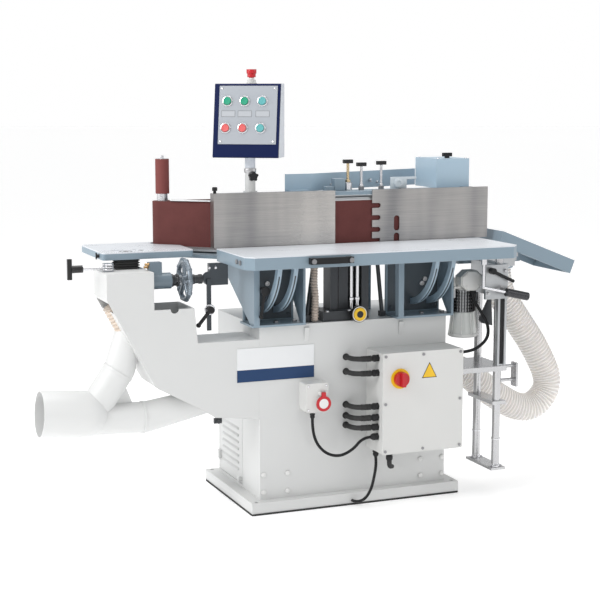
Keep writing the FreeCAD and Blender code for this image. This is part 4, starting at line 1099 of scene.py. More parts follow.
class CablesOperator(bpy.types.Operator):
    """Makes the free cables with their glands and boots."""
    bl_idname = "sander.cables"
    bl_label = "Cables and glands"

    def execute(self, context):
        thin = sizes().cable_diameter
        thick = sizes().motor_cable_diameter
        sheath = finish("cable_sheath", colours().black, (0.018, 0.018, 0.02), grain=500.0, change=0.5,
                        smooth=(0.35, 0.5), bump=0.1, rounding=False, gloss=0.25)
        for name, points, node, width in (("supply_lead", SUPPLY_ROUTE, "supply_cable", thin),
                                          ("floor_lead", FLOOR_ROUTE, "floor_cable", thin),
                                          ("motor_lead", MOTOR_ROUTE, "motor_cable", thick)):
            self.lay(name, points, node, width, sheath, "hanging")
        for index, height in enumerate(GLAND_HEIGHTS[:5]):
            points = control_route(height)
            self.lay("control_lead_" + str(index + 1), points, "control_cables", thin, sheath, "loose")
            line = evenly(route_line("control_sleeve", points), BOOT_STEP)
            bm = bmesh.new()
            sweep(bm, line[2:-1], self.sleeve, sides=24)
            turned(bm, [(0.0, 0.0), (0.0, 0.0115), (0.003, 0.0118), (0.0045, 0.0104), (0.0045, 0.0)],
                   (points[-1][0], CABINET_FRONT, points[-1][2]), FRONT, sides=28)
            piece("cable_boot_" + str(index + 1), bm, black_rubber(), "machine", crease=60.0)
        self.glands()
        self.bent_tail()
        return {"FINISHED"}

    def sleeve(self, along, turn):
        """A ribbed boot by the box, then a plain thick sleeve down to the cabinet."""
        if along < BOOT_RIBBED_LENGTH:
            return BOOT_RADIUS + BOOT_RIB_HEIGHT * math.cos(2 * math.pi * along / BOOT_RIB_PITCH)
        if along < BOOT_NECK_LENGTH:
            return BOOT_NECK_RADIUS
        return SLEEVE_RADIUS

    def lay(self, name, points, node, width, material, lay):
        """A free cable along its route, in place of the plain one of the solid model."""
        lead = route_curve(name, points, width / 2)
        lead.data.materials.append(material)
        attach(lead, "machine")
        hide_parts(node)
        line = route_line(name, points)

    def glands(self):
        """Each gland is a hexagonal base nut, a clamping nut with flats and a sealing lip."""
        places = [((0.044, GLAND_LINE_Y, z), LEFT, 0.0130, 0.026) for z in GLAND_HEIGHTS]
        places.append(((0.086, -0.306, 0.190), DOWN, 0.0130, 0.034))
        places.append(((0.052, -0.270, 0.190), DOWN, 0.0110, 0.022))
        places.append(((-0.171, -0.246, 0.331), DOWN, 0.0090, 0.018))
        for index, (place, way, wide, long) in enumerate(places):
            bm = bmesh.new()
            turned(bm, [(0.0, 0.0), (0.0, wide * 0.93), (0.001, wide), (long * 0.27, wide),
                        (long * 0.31, wide * 0.93), (long * 0.31, 0.0)], place, way, sides=6)
            turned(bm, [(long * 0.29, 0.0), (long * 0.29, wide * 0.80), (long * 0.40, wide * 0.80),
                        (long * 0.42, 0.0)], place, way, sides=24)
            turned(bm, [(long * 0.40, 0.0), (long * 0.40, wide * 0.86), (long * 0.44, wide * 0.92),
                        (long * 0.72, wide * 0.90), (long * 0.80, wide * 0.82), (long * 0.82, 0.0)],
                   place, way, sides=12)
            turned(bm, [(long * 0.78, 0.0), (long * 0.78, wide * 0.76), (long * 0.92, wide * 0.66),
                        (long, wide * 0.50), (long, 0.0)], place, way, sides=24)
            gland = piece("cable_gland_" + str(index + 1), bm, black_plastic(), "machine",
                          crease=28.0)
            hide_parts("cable_glands")

    def bent_tail(self):
        """The short bent stub under the spare gland."""
        bm = bmesh.new()
        path = evenly(route_line("stub", [(0.086, -0.306, 0.160), (0.086, -0.306, 0.146),
                                          (0.092, -0.300, 0.136), (0.104, -0.292, 0.134)]), 0.002)
        sweep(bm, path, lambda along, turn: 0.0082 if along < 0.03 else 0.0074, sides=20)
        piece("bent_gland_tail", bm, black_rubber(), "machine")


BUTTON_HOLE = 0.0162
FACE_HALF_WIDE = 0.098
FACE_HALF_TALL = 0.097
FACE_RISE = 0.0016
LABEL_HEIGHT = 1.322
LABEL_PLACES = (-0.062, -0.006, 0.054)
STOP_X = 0.006


class PanelOperator(bpy.types.Operator):
    """Makes the control panel's face, bezels, caps, blank strips and screws."""
    bl_idname = "sander.panel"
    bl_label = "Control panel face"

    def execute(self, context):
        out = panel_out()
        across = (Matrix.Rotation(PANEL_TURN, 4, "Z") @ Vector(RIGHT)).normalized()
        up = out.cross(across).normalized()
        if up.z < 0:
            up = -up
        middle = face_place(0.004, 1.318, FACE_RISE)
        self.face(middle, across, up, out)
        self.buttons(out)
        self.labels(across, up, out)
        bm = bmesh.new()
        for sx in (-1, 1):
            for sy in (-1, 1):
                corner = middle + across * (sx * 0.089) + up * (sy * 0.088)
                turned(bm, [(0.0, 0.0), (0.0, 0.0042), (0.0012, 0.0040), (0.0020, 0.0026), (0.0022, 0.0)],
                       corner, out, sides=20)
        piece("panel_face_screws", bm, polished_chrome(), "panel")
        self.stop_button()
        return {"FINISHED"}

    def buttons(self, out):
        """A bright bezel round each button, and a dished cap on it."""
        for name, (x, z) in BUTTON_PLACES.items():
            centre = face_place(x, z)
            kind = name.split("_")[1]
            bm = bmesh.new()
            turned(bm, [(0.0020, 0.0134), (0.0020, 0.0182), (0.0032, 0.0184), (0.0052, 0.0172),
                        (0.0060, 0.0160), (0.0060, 0.0134)], centre, out, sides=40, loop=True)
            piece(name + "_bezel", bm, polished_chrome(), "panel")
            bm = bmesh.new()
            turned(bm, [(0.0085, 0.0), (0.0085, 0.0126), (0.0102, 0.0126), (0.0110, 0.0118),
                        (0.0110, 0.0108), (0.0100, 0.0096), (0.0096, 0.0)], centre, out, sides=36)
            piece(name + "_cap", bm, bpy.data.materials["button_" + kind], name)

    def labels(self, across, up, out):
        """A blank strip with a dark rim between the two rows of buttons."""
        blank = finish("blank_strip", (0.44, 0.46, 0.49), (0.40, 0.42, 0.45), grain=900.0,
                       smooth=(0.3, 0.4), bump=0.02, rounding=False)
        border = finish("strip_border", (0.20, 0.21, 0.22), (0.16, 0.17, 0.18), grain=900.0,
                        smooth=(0.4, 0.5), bump=0.02, rounding=False)
        for index, x in enumerate(LABEL_PLACES):
            centre = face_place(x, LABEL_HEIGHT, 0.0021)
            for label, wide, tall, raise_by, material in (
                    ("rim", 0.0235, 0.0105, 0.0002, border), ("blank", 0.0220, 0.0090, 0.0004, blank)):
                bm = bmesh.new()
                corners = [centre + across * (sx * wide) + up * (sy * tall)
                           for sx, sy in ((-1, -1), (1, -1), (1, 1), (-1, 1))]
                slab(bm, corners, out * raise_by)
                piece("label_" + label + "_" + str(index + 1), bm, material, "panel")

    def stop_button(self):
        """The guide collar of the stop button on top, and its cap."""
        bm = bmesh.new()
        turned(bm, [(0.0, 0.0128), (0.0, 0.0175), (0.003, 0.0175), (0.0045, 0.0150), (0.0120, 0.0144),
                    (0.0125, 0.0128)], on_panel((STOP_X, 0.0, PANEL_HIGH)), UP, sides=36, loop=True)
        piece("stop_button_collar", bm, finish("stop_collar_grey", (0.62, 0.62, 0.60), grain=900.0,
                                               smooth=(0.3, 0.45)), "panel")
        bm = bmesh.new()
        top = on_panel((STOP_X, 0.0, PANEL_HIGH + 0.047))
        turned(bm, [(-0.0135, 0.0164), (-0.0020, 0.0166), (-0.0004, 0.0160), (0.0, 0.0140), (0.0, 0.0)],
               top - Vector((0, 0, 0.0002)), UP, sides=40)
        piece("stop_button_cap", bm, bpy.data.materials["stop_button_finish"], "stop")

    def face(self, middle, across, up, out):
        """The light face plate, with a hole for each button."""
        data = bpy.data.curves.new("face_outline", "CURVE")
        data.dimensions = "2D"
        data.fill_mode = "BOTH"
        outline = [(-FACE_HALF_WIDE, -FACE_HALF_TALL), (FACE_HALF_WIDE, -FACE_HALF_TALL),
                   (FACE_HALF_WIDE, FACE_HALF_TALL), (-FACE_HALF_WIDE, FACE_HALF_TALL)]
        loops = [outline]
        for x, z in BUTTON_PLACES.values():
            away = face_place(x, z, FACE_RISE) - middle
            hx, hy = away.dot(across), away.dot(up)
            loops.append([(hx + BUTTON_HOLE * math.cos(2 * math.pi * k / 32),
                           hy + BUTTON_HOLE * math.sin(2 * math.pi * k / 32)) for k in range(32)])
        for points in loops:
            line = data.splines.new("POLY")
            line.points.add(len(points) - 1)
            for control, (x, y) in zip(line.points, points):
                control.co = (x, y, 0.0, 1.0)
            line.use_cyclic_u = True
        data.extrude = 0.0003
        shape = bpy.data.objects.new("face_outline", data)
        bpy.context.scene.collection.objects.link(shape)
        bpy.context.view_layer.update()
        flat = bpy.data.meshes.new_from_object(shape)
        bpy.data.objects.remove(shape)
        turn = Matrix((across, up, out)).transposed().to_4x4()
        flat.transform(Matrix.Translation(middle) @ turn)
        bm = bmesh.new()
        bm.from_mesh(flat)
        bpy.data.meshes.remove(flat)
        bmesh.ops.remove_doubles(bm, verts=bm.verts, dist=0.00001)
        material = finish("panel_face_grey", colours().face, shade(colours().face, 0.94), grain=900.0,
                          change=0.4, smooth=(0.34, 0.46), bump=0.04, rounding=False)
        piece("panel_face_plate", bm, material, "panel")


FOLD_DEPTH = 0.006
BELLOWS_INSET = 0.0085
STEPS_PER_FOLD = 4
BELLOWS_CORNER = 0.010


class BellowsOperator(bpy.types.Operator):
    """Makes the folded rubber boot round the left table's lift post."""
    bl_idname = "sander.bellows"
    bl_label = "Lift post bellows"

    def execute(self, context):
        low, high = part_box("bellows")
        middle = (low + high) / 2
        half = (high - low) / 2
        bm = bmesh.new()
        rings = []
        steps = sizes().bellows_folds * STEPS_PER_FOLD
        for step in range(steps + 1):
            z = low.z + (high.z - low.z) * step / steps
            pull = FOLD_DEPTH * (0.5 + 0.5 * math.cos(2 * math.pi * step / STEPS_PER_FOLD))
            rings.append(self.outline(bm, middle, half.x - pull, half.y - pull, z))
        for step in range(steps, -1, -1):
            z = low.z + (high.z - low.z) * step / steps
            rings.append(self.outline(bm, middle, half.x - BELLOWS_INSET, half.y - BELLOWS_INSET, z))
        count = len(rings[0])
        for near, far in zip(rings, rings[1:] + rings[:1]):
            for k in range(count):
                after = (k + 1) % count
                bm.faces.new((near[k], near[after], far[after], far[k]))
        boot = piece("folded_bellows", bm, black_rubber(), None, crease=60.0)
        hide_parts("bellows")
        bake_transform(boot)
        return {"FINISHED"}

    def outline(self, bm, middle, half_x, half_y, z):
        """One rectangular ring with round corners."""
        corner = BELLOWS_CORNER
        verts = []
        for sx, sy, start in ((1, 1, 0), (-1, 1, 90), (-1, -1, 180), (1, -1, 270)):
            for k in range(5):
                turn = math.radians(start + k * 22.5)
                verts.append(bm.verts.new((middle.x + sx * (half_x - corner) + corner * math.cos(turn),
                                           middle.y + sy * (half_y - corner) + corner * math.sin(turn), z)))
        return verts


WASHER_PITCH = 0.009
WASHER_BORE = 0.0145
SPRING_TURNS = 4
RING_PITCH = 0.008
DUCT_RIB_PITCH = 0.0125
DUCT_STEPS = 110
ARM_EDGE_TOP = Vector((-0.856, -0.1275, 0.744))
ARM_EDGE_FOOT = Vector((-0.703, -0.1275, 0.456))


def on_spindle(x):
    """A place on the axis of the handwheel's spindle."""
    return (x, SPINDLE_Y, SPINDLE_Z)


class LeftSideOperator(bpy.types.Operator):
    """Makes the small hardware round the left table, the handwheel and the arm."""
    bl_idname = "sander.left_side"
    bl_label = "Left side hardware"

    def execute(self, context):
        self.spindle()
        self.arm()
        self.table()
        self.hanger()
        bm = bmesh.new()
        for k in range(3):
            z = 0.830 + k * RING_PITCH
            turned(bm, [(z, 0.0170), (z + 0.001, 0.0182), (z + 0.005, 0.0182), (z + 0.006, 0.0170),
                        (z + 0.006, 0.0162), (z, 0.0162)], (-0.830, -0.130, 0.0), UP, sides=36, loop=True)
        piece("lock_block_rings", bm, polished_chrome(), "machine")
        return {"FINISHED"}

    def spindle(self):
        """Washers and a spring before the handwheel, a cap and a sleeve behind it, and grease fittings."""
        bm = bmesh.new()
        for index in range(3):
            along = index * WASHER_PITCH
            wide = 0.021 if index % 2 == 0 else 0.018
            turned(bm, [(along, WASHER_BORE), (along, wide - 0.001), (along + 0.001, wide),
                        (along + 0.006, wide), (along + 0.007, wide - 0.001),
                        (along + 0.007, WASHER_BORE)], on_spindle(-0.6285), RIGHT, sides=40, loop=True)
        piece("spindle_washers", bm, dark_steel(), "machine")
        bm = bmesh.new()
        wire = coil(on_spindle(-0.6155), RIGHT, 0.0115, 0.017, SPRING_TURNS)
        sweep(bm, wire, lambda along, turn: 0.0016, sides=8)
        piece("spindle_spring", bm, polished_chrome(), "machine")
        bm = bmesh.new()
        turned(bm, [(-0.003, 0.0), (-0.003, 0.014), (0.0, 0.0185), (0.004, 0.0185), (0.006, 0.012),
                    (0.006, 0.0)], on_spindle(-0.5675), RIGHT, sides=36)
        piece("handwheel_boss_cap", bm, polished_chrome(), "wheel")
        bm = bmesh.new()
        turned(bm, [(0.0, 0.0), (0.0, 0.0150), (0.0012, 0.0162), (0.012, 0.0162), (0.013, 0.0140),
                    (0.026, 0.0140), (0.027, 0.0160), (0.037, 0.0160), (0.038, 0.0150), (0.038, 0.0)],
               on_spindle(-0.5610), RIGHT, sides=36)
        piece("spindle_end_sleeve", bm, dark_steel(), "wheel")
        bm = bmesh.new()
        for z, y in ((0.846, -0.156), (0.836, -0.144)):
            turned(bm, [(0.0, 0.0), (0.0, 0.0052), (0.004, 0.0052), (0.004, 0.0036), (0.009, 0.0036),
                        (0.010, 0.0045), (0.014, 0.0040), (0.015, 0.0)], (-0.702, y, z), LEFT, sides=20)
        piece("grease_fittings", bm, brass(), "machine")

    def arm(self):
        """The ribbed duct sleeve under the arm's slanted edge, and the latch below the arm."""
        edge = ARM_EDGE_FOOT - ARM_EDGE_TOP
        inward = Vector((-edge.z, 0.0, edge.x)).normalized()
        start = ARM_EDGE_TOP + edge * 0.13 + inward * 0.030
        end = ARM_EDGE_TOP + edge * 0.50 + inward * 0.036
        line = [start.lerp(end, k / DUCT_STEPS) for k in range(DUCT_STEPS + 1)]
        bm = bmesh.new()
        sweep(bm, line, lambda along, turn: 0.0400 + along * 0.05
              + 0.0030 * math.cos(2 * math.pi * along / DUCT_RIB_PITCH), sides=40)
        tan = finish("tan_duct_sleeve", (0.56, 0.45, 0.36), (0.74, 0.66, 0.58), grain=200.0, change=0.8,
                     smooth=(0.3, 0.45), bump=0.1, rounding=False)
        piece("arm_duct_sleeve", bm, tan, "machine", crease=70.0)
        bm = bmesh.new()
        block(bm, (-0.503, -0.206, 0.316), (-0.476, -0.196, 0.334), 0.0012)
        head(bm, (-0.4895, -0.206, 0.322), FRONT, wide=0.006, straight=0.006, top=0.004, tall=0.008)
        piece("arm_latch", bm, dark_steel(), "machine")

    def table(self):
        """The wing screw on the left table's edge, and the dished caps of its posts."""
        bm = bmesh.new()
        turned(bm, [(0.0, 0.0), (0.0, 0.006), (0.008, 0.006), (0.009, 0.0)],
               (-0.840, -0.058, 0.869), LEFT, sides=20)
        block(bm, (-0.852, -0.0605, 0.858), (-0.8475, -0.0555, 0.880), 0.0015)
        piece("table_wing_screw", bm, black_plastic(), "left_table")
        bm = bmesh.new()
        for x, y, wide in ((-0.756, -0.075, 0.0215), (-0.700, -0.058, 0.0085)):
            turned(bm, [(-0.002, 0.0), (-0.002, wide), (0.0003, wide), (0.0003, wide - 0.003),
                        (-0.0006, wide - 0.004), (-0.0006, wide * 0.45), (0.0002, wide * 0.40),
                        (0.0002, 0.0)], (x, y, TABLE_TOP), UP, sides=36)
        piece("table_post_caps", bm, dark_steel(), "left_table")

    def hanger(self):
        """The washer of the clamp link, and the two bolts of the hanger plate."""
        bm = bmesh.new()
        turned(bm, [(0.0, 0.0056), (0.0, 0.0175), (0.002, 0.0180), (0.0060, 0.0180), (0.0075, 0.0160),
                    (0.0075, 0.0056)], (-0.503, -0.166, 0.690), FRONT, sides=32, loop=True)
        piece("link_washer", bm, polished_chrome(), "machine")
        bm = bmesh.new()
        for x in (-0.500, -0.478):
            head(bm, (x, -0.159, 0.826), FRONT, wide=0.005, straight=0.003, top=0.0035, tall=0.004,
                 sides=6)
        piece("hanger_bolts", bm, polished_chrome(), "machine")


GUIDE_ROD_PLACES = (0.006, 0.030)
GUIDE_ROD_Y = -0.160
CONDUIT_ROUTE = [(-0.136, -0.176, 0.838), (-0.136, -0.176, 0.800), (-0.140, -0.182, 0.758),
                 (-0.136, -0.186, 0.716), (-0.138, -0.188, 0.672), (-0.140, -0.188, 0.634)]
CONDUIT_RIB_PITCH = 0.0095
HOUSING_BACKS = (("left", -0.3635, -0.1985), ("right", 0.1605, 0.3535))
ARC_RAILS = ((-0.320, -0.305), (-0.264, -0.249), (0.248, 0.263), (0.310, 0.325))
ARC_CENTRE_Y = -0.0985
ARC_RADIUS = 0.2232
ARC_START = math.radians(200.0)
ARC_END = math.radians(244.0)
ARC_STEPS = 14
ARC_SLOT_HALF = 0.0022


class MiddleOperator(bpy.types.Operator):
    """Makes the column's sleeves, the conduit, the housing backs' dark sheets of painted shade, the arc
    rails' strips of painted shade and the table's bolts.
    """
    bl_idname = "sander.middle"
    bl_label = "Column and housing details"

    def execute(self, context):
        bm = bmesh.new()
        for x in GUIDE_ROD_PLACES:
            turned(bm, [(0.0, 0.0), (0.0, 0.0074), (0.196, 0.0074), (0.196, 0.0)],
                   (x, GUIDE_ROD_Y, 0.640), UP, sides=32)
            turned(bm, [(0.0, 0.0074), (0.0, 0.0105), (0.008, 0.0105), (0.009, 0.0095), (0.009, 0.0074)],
                   (x, GUIDE_ROD_Y, 0.694), UP, sides=32, loop=True)
        piece("column_guide_rods", bm, polished_chrome(), "machine")
        line = evenly(route_line("conduit", CONDUIT_ROUTE), 0.0016)
        bm = bmesh.new()
        sweep(bm, line, lambda along, turn: 0.0118
              + 0.0016 * math.cos(2 * math.pi * along / CONDUIT_RIB_PITCH), sides=28)
        beige = finish("beige_conduit", (0.50, 0.42, 0.36), (0.40, 0.33, 0.28), grain=500.0, change=0.5,
                       smooth=(0.35, 0.5), bump=0.1, rounding=False)
        piece("flexible_conduit", bm, beige, "machine", crease=70.0)
        for name, left, right in HOUSING_BACKS:
            self.housing_shade_sheet(name, left, right)
        bm = bmesh.new()
        for x, z in ((0.303, 0.748), (0.292, 0.733), (-0.286, 0.760)):
            turned(bm, [(0.0, 0.0), (0.0, 0.0085), (0.003, 0.0085), (0.004, 0.0075), (0.004, 0.0045),
                        (0.001, 0.0045), (0.001, 0.0)], (x, -0.1275, z), FRONT, sides=28)
        piece("housing_screws", bm, ground_steel(), "machine")
        bm = bmesh.new()
        # Blackened strips along the rails' grooves: their darkness is painted shade.
        for x0, x1 in ARC_RAILS:
            self.arc_slot(bm, (x0 + x1) / 2 - ARC_SLOT_HALF, (x0 + x1) / 2 + ARC_SLOT_HALF)
        piece("arc_slot_shade_strips", bm, dark_steel(), "machine")
        bm = bmesh.new()
        for x, y in ((-0.10, -0.205), (-0.02, -0.205), (-0.10, -0.118), (-0.02, -0.118)):
            head(bm, (x, y, 0.664), UP, wide=0.0075, straight=0.004, top=0.006, tall=0.0055, sides=6)
        piece("column_foot_bolts", bm, ground_steel(), "machine")
        return {"FINISHED"}

    def housing_shade_sheet(self, name, left, right):
        """A dark sheet over the back wall of a table housing, with a bolt near each corner; its darkness is
        painted shade.
        """
        bm = bmesh.new()
        block(bm, (left, HOUSING_BACK_Y, 0.640), (right, HOUSING_BACK_Y + 0.0007, 0.830))
        for x in (left + 0.012, right - 0.012):
            for z in (0.655, 0.815):
                head(bm, (x, HOUSING_BACK_Y, z), FRONT, wide=0.006, straight=0.003, top=0.004,
                     tall=0.0045, sides=6)
        # The sheet's colour is the machine paint made far darker: painted shade inside the housing.
        painted_shade_paint = finish("painted_shade_on_housings", shade(colours().paint, 0.30), shade(colours().paint, 0.2),
                            grain=380.0, change=0.6, smooth=(0.35, 0.5), bump=0.25, dust=0.05)
        piece("housing_shade_sheet_" + name, bm, painted_shade_paint, "machine")

    def arc_slot(self, bm, x0, x1):
        """A dark strip along the middle of an arc rail's outer face; its darkness is painted shade standing
        for the rail's groove.
        """
        low = ARC_RADIUS - 0.002
        high = ARC_RADIUS + 0.0003
        rows = []
        for k in range(ARC_STEPS + 1):
            turn = ARC_START + (ARC_END - ARC_START) * k / ARC_STEPS
            ring = []
            for x, r in ((x0, low), (x1, low), (x1, high), (x0, high)):
                ring.append(bm.verts.new((x, ARC_CENTRE_Y + r * math.cos(turn),
                                          TABLE_TOP + r * math.sin(turn))))
            rows.append(ring)
        for near, far in zip(rows, rows[1:]):
            for j in range(4):
                after = (j + 1) % 4
                bm.faces.new((near[j], near[after], far[after], far[j]))
        bm.faces.new(list(reversed(rows[0])))
        bm.faces.new(rows[-1])


TRIANGLE_CENTRE = (0.2165, 0.4595)
TRIANGLE_CORNERS = ((-0.0245, -0.0155), (0.0245, -0.0155), (0.0, 0.0310))
PLUG_PLACES = ((-0.333, 0.128), (-0.247, 0.126), (-0.333, 0.068), (-0.247, 0.066),
               (0.251, 0.127), (0.335, 0.126), (0.251, 0.068), (0.335, 0.067))
LOUVRES = 7
LOUVRE_LOW = 0.094
LOUVRE_PITCH = 0.024
COVER_RIBS = 8
MOTOR_FINS = 26
FIN_HEIGHT = 0.0745


def round_motor(turn, reach, height):
    """A place round the motor's upright axis."""
    return MOTOR_AXIS + Vector((reach * math.cos(turn), reach * math.sin(turn), height))


class CabinetOperator(bpy.types.Operator):
    """Makes the front cabinet's blank signs, screws and motor trim."""
    bl_idname = "sander.cabinet"
    bl_label = "Cabinet and motor details"

    def execute(self, context):
        self.front()
        self.door()
        self.motor()
        return {"FINISHED"}

    def front(self):
        """The blank warning triangle, the inlet lid's screws and the white plug caps at the base."""
        yellow = finish("sign_yellow", colours().yellow, shade(colours().yellow, 0.9), grain=900.0,
                        smooth=(0.3, 0.4), bump=0.02, rounding=False)
        for name, grow, thick, material in (("rim", 1.14, 0.0006, black_plastic()),
                                            ("blank", 1.0, 0.0010, yellow)):
            bm = bmesh.new()
            corners = [(TRIANGLE_CENTRE[0] + x * grow, LID_FRONT, TRIANGLE_CENTRE[1] + z * grow)
                       for x, z in TRIANGLE_CORNERS]
            slab(bm, corners, (0, -thick, 0))
            piece("warning_triangle_" + name, bm, material, "machine")
        bm = bmesh.new()
        for x in (-0.196, -0.132):
            for z in (0.349, 0.429):
                head(bm, (x, -0.272, z), FRONT, wide=0.004, straight=0.0012, top=0.0028, tall=0.0020,
                     sides=20)
        piece("inlet_lid_screws", bm, polished_chrome(), "machine")
        bm = bmesh.new()
        for x, z in PLUG_PLACES:
            turned(bm, [(-0.003, 0.0), (-0.003, 0.0084), (0.0004, 0.0084), (0.0018, 0.0074),
                        (0.0030, 0.0048), (0.0034, 0.0)], (x, CABINET_FRONT - 0.004, z), FRONT, sides=28)
        piece("base_plug_caps", bm, finish("plug_white", (0.74, 0.74, 0.73), grain=900.0,
                                           smooth=(0.25, 0.4)), "machine")

    def door(self):
        """The pressed louvres of the side door."""
        bm = bmesh.new()
        side = DOOR_EDGE - 0.003
        for row in range(LOUVRES):
            z = LOUVRE_LOW + row * LOUVRE_PITCH
            outline = [(side + 0.0006, z + 0.0088), (side - 0.0050, z + 0.0010), (side - 0.0050, z - 0.0006),
                       (side - 0.0038, z - 0.0006), (side + 0.0012, z + 0.0074)]
            slab(bm, [(x, -0.003, height) for x, height in outline], (0, 0.166, 0), 0.0003)
        piece("door_louvres", bm, cabinet_coat(), "door")

    def motor(self):
        """The gear motor's terminal lid, fan cover, cooling fins and cable nuts."""
        x, y, z = MOTOR_LID
        bm = bmesh.new()
        octagon = []
        for k in range(8):
            turn = math.radians(22.5 + 45 * k)
            octagon.append((x + 0.0415 * math.cos(turn), y, z + 0.0342 * math.sin(turn)))
        slab(bm, octagon, (0, -0.004, 0), 0.0012)
        for sx in (-1, 1):
            for sz in (-1, 1):
                head(bm, (x + sx * 0.024, y - 0.004, z + sz * 0.019), FRONT, wide=0.0036,
                     straight=0.0012, top=0.0024, tall=0.0018, sides=18)
        piece("terminal_box_lid", bm, box_coat(), "machine")
        bm = bmesh.new()
        turned(bm, [(-0.003, 0.0), (-0.003, 0.048), (0.0, 0.0515), (0.006, 0.0515), (0.009, 0.0500),
                    (0.009, 0.0)], round_motor(0.0, 0.0, 0.554), UP, sides=56)
        for k in range(COVER_RIBS):
            turn = 2 * math.pi * k / COVER_RIBS + 0.2
            foot = round_motor(turn, 0.0488, 0.563)
            top = round_motor(turn, 0.0405, 0.634)
            sweep(bm, [foot, foot.lerp(top, 0.5), top], lambda along, turn: 0.0016, sides=8)
        piece("fan_cover_rim", bm, box_coat(), "machine")
        bm = bmesh.new()
        rise = Vector((0, 0, FIN_HEIGHT))
        for k in range(MOTOR_FINS):
            turn = 2 * math.pi * k / MOTOR_FINS
            side = Vector((-math.sin(turn), math.cos(turn), 0.0)) * 0.0016
            inner = round_motor(turn, 0.035, 0.6405) - side
            outer = round_motor(turn, 0.0445, 0.6405) - side
            slab(bm, [inner, outer, outer + rise, inner + rise], side * 2, 0.0004)
        piece("motor_fins", bm, black_plastic(), "machine")
        bm = bmesh.new()
        turned(bm, [(-0.022, 0.0), (-0.022, 0.008), (-0.004, 0.008), (-0.004, 0.011), (0.001, 0.011),
                    (0.001, 0.0)], MOTOR_ROUTE[0], DOWN, sides=6)
        piece("motor_cable_nut", bm, black_plastic(), "machine")
        bm = bmesh.new()
        turned(bm, [(0.0, 0.0), (0.0, 0.013), (0.006, 0.013), (0.007, 0.010), (0.016, 0.0095),
                    (0.020, 0.0075), (0.020, 0.0)], MOTOR_ROUTE[-1], RIGHT, sides=24)
        piece("box_side_gland", bm, black_plastic(), "machine")


class RightSideOperator(bpy.types.Operator):
    """Makes the stand's strip of painted shade, bolts, caps, gusset and the hose's band clamps."""
    bl_idname = "sander.right_side"
    bl_label = "Stand and hose hardware"

    def execute(self, context):
        self.stand()
        port_x, port_y, port_z = HOSE_ROUTE[0]
        hood_x, hood_y, hood_z = HOSE_ROUTE[-1]
        bm = bmesh.new()
        for x in (port_x + 0.019, port_x + 0.031):
            band(bm, (x, port_y, port_z), RIGHT, 0.0582, 0.0602, 0.007)
        block(bm, (0.380, -0.1375, 0.411), (0.398, -0.1275, 0.429), 0.0015)
        piece("hose_port_bands", bm, polished_chrome(), "machine")
        bm = bmesh.new()
        band(bm, (hood_x, hood_y, hood_z - 0.017), UP, 0.0592, 0.0612, 0.009)
        block(bm, (0.625, -0.1205, 0.769), (0.643, -0.1095, 0.784), 0.0015)
        piece("hood_collar_band", bm, polished_chrome(), "machine")
        bm = bmesh.new()
        head(bm, (0.655, -0.1415, 0.846), FRONT, wide=0.014, straight=0.003, top=0.010, tall=0.005,
             sides=28)
        piece("tilt_pin_cap", bm, ground_steel(), "stand_head")
        return {"FINISHED"}

    def stand(self):
        """The strip of painted shade in the slide's channel, the head's bolts, the foot collars and the
        gusset.
        """
        bm = bmesh.new()
        # A thin black sheet laid in the slide's channel: painted shade of the channel's inside.
        block(bm, (0.4886, -0.3288, 0.466), (0.5054, -0.3281, 0.698))
        piece("slide_channel_shade_strip", bm, black_plastic(), "stand_head")
        bm = bmesh.new()
        for x, z, r in ((0.488, 0.728, 0.0105), (0.505, 0.790, 0.007), (0.440, 0.715, 0.006)):
            turned(bm, [(0.0, 0.0), (0.0, r * 1.35), (0.0015, r * 1.35), (0.0015, r), (0.006, r),
                        (0.0075, r * 0.85), (0.0075, 0.0)], (x, -0.334, z), FRONT, sides=6)
        piece("stand_head_bolts", bm, ground_steel(), "stand_head")
        bm = bmesh.new()
        for y in STAND_COLUMNS_Y:
            head(bm, (STAND_X, y, STAND_FOOT_TOP), UP, wide=0.0155, straight=0.010, top=0.0142,
                 tall=0.012, sides=40)
            band(bm, (STAND_X, y, STAND_FOOT_TOP + 0.098), UP, 0.0141, 0.0160, 0.004, sides=40)
            for sx in (-1, 1):
                head(bm, (STAND_X + sx * 0.0205, y, STAND_FOOT_TOP), UP, wide=0.005, straight=0.004,
                     top=0.004, tall=0.005, sides=6)
        piece("stand_foot_collars", bm, polished_chrome(), "machine")
        bm = bmesh.new()
        slab(bm, [(0.452, -0.252, 0.612), (0.492, -0.252, 0.6935), (0.500, -0.252, 0.6935),
                  (0.506, -0.252, 0.588), (0.462, -0.252, 0.600)], (0, 0.006, 0), 0.0008)
        piece("stand_head_gusset", bm, dark_steel(), "stand_head")


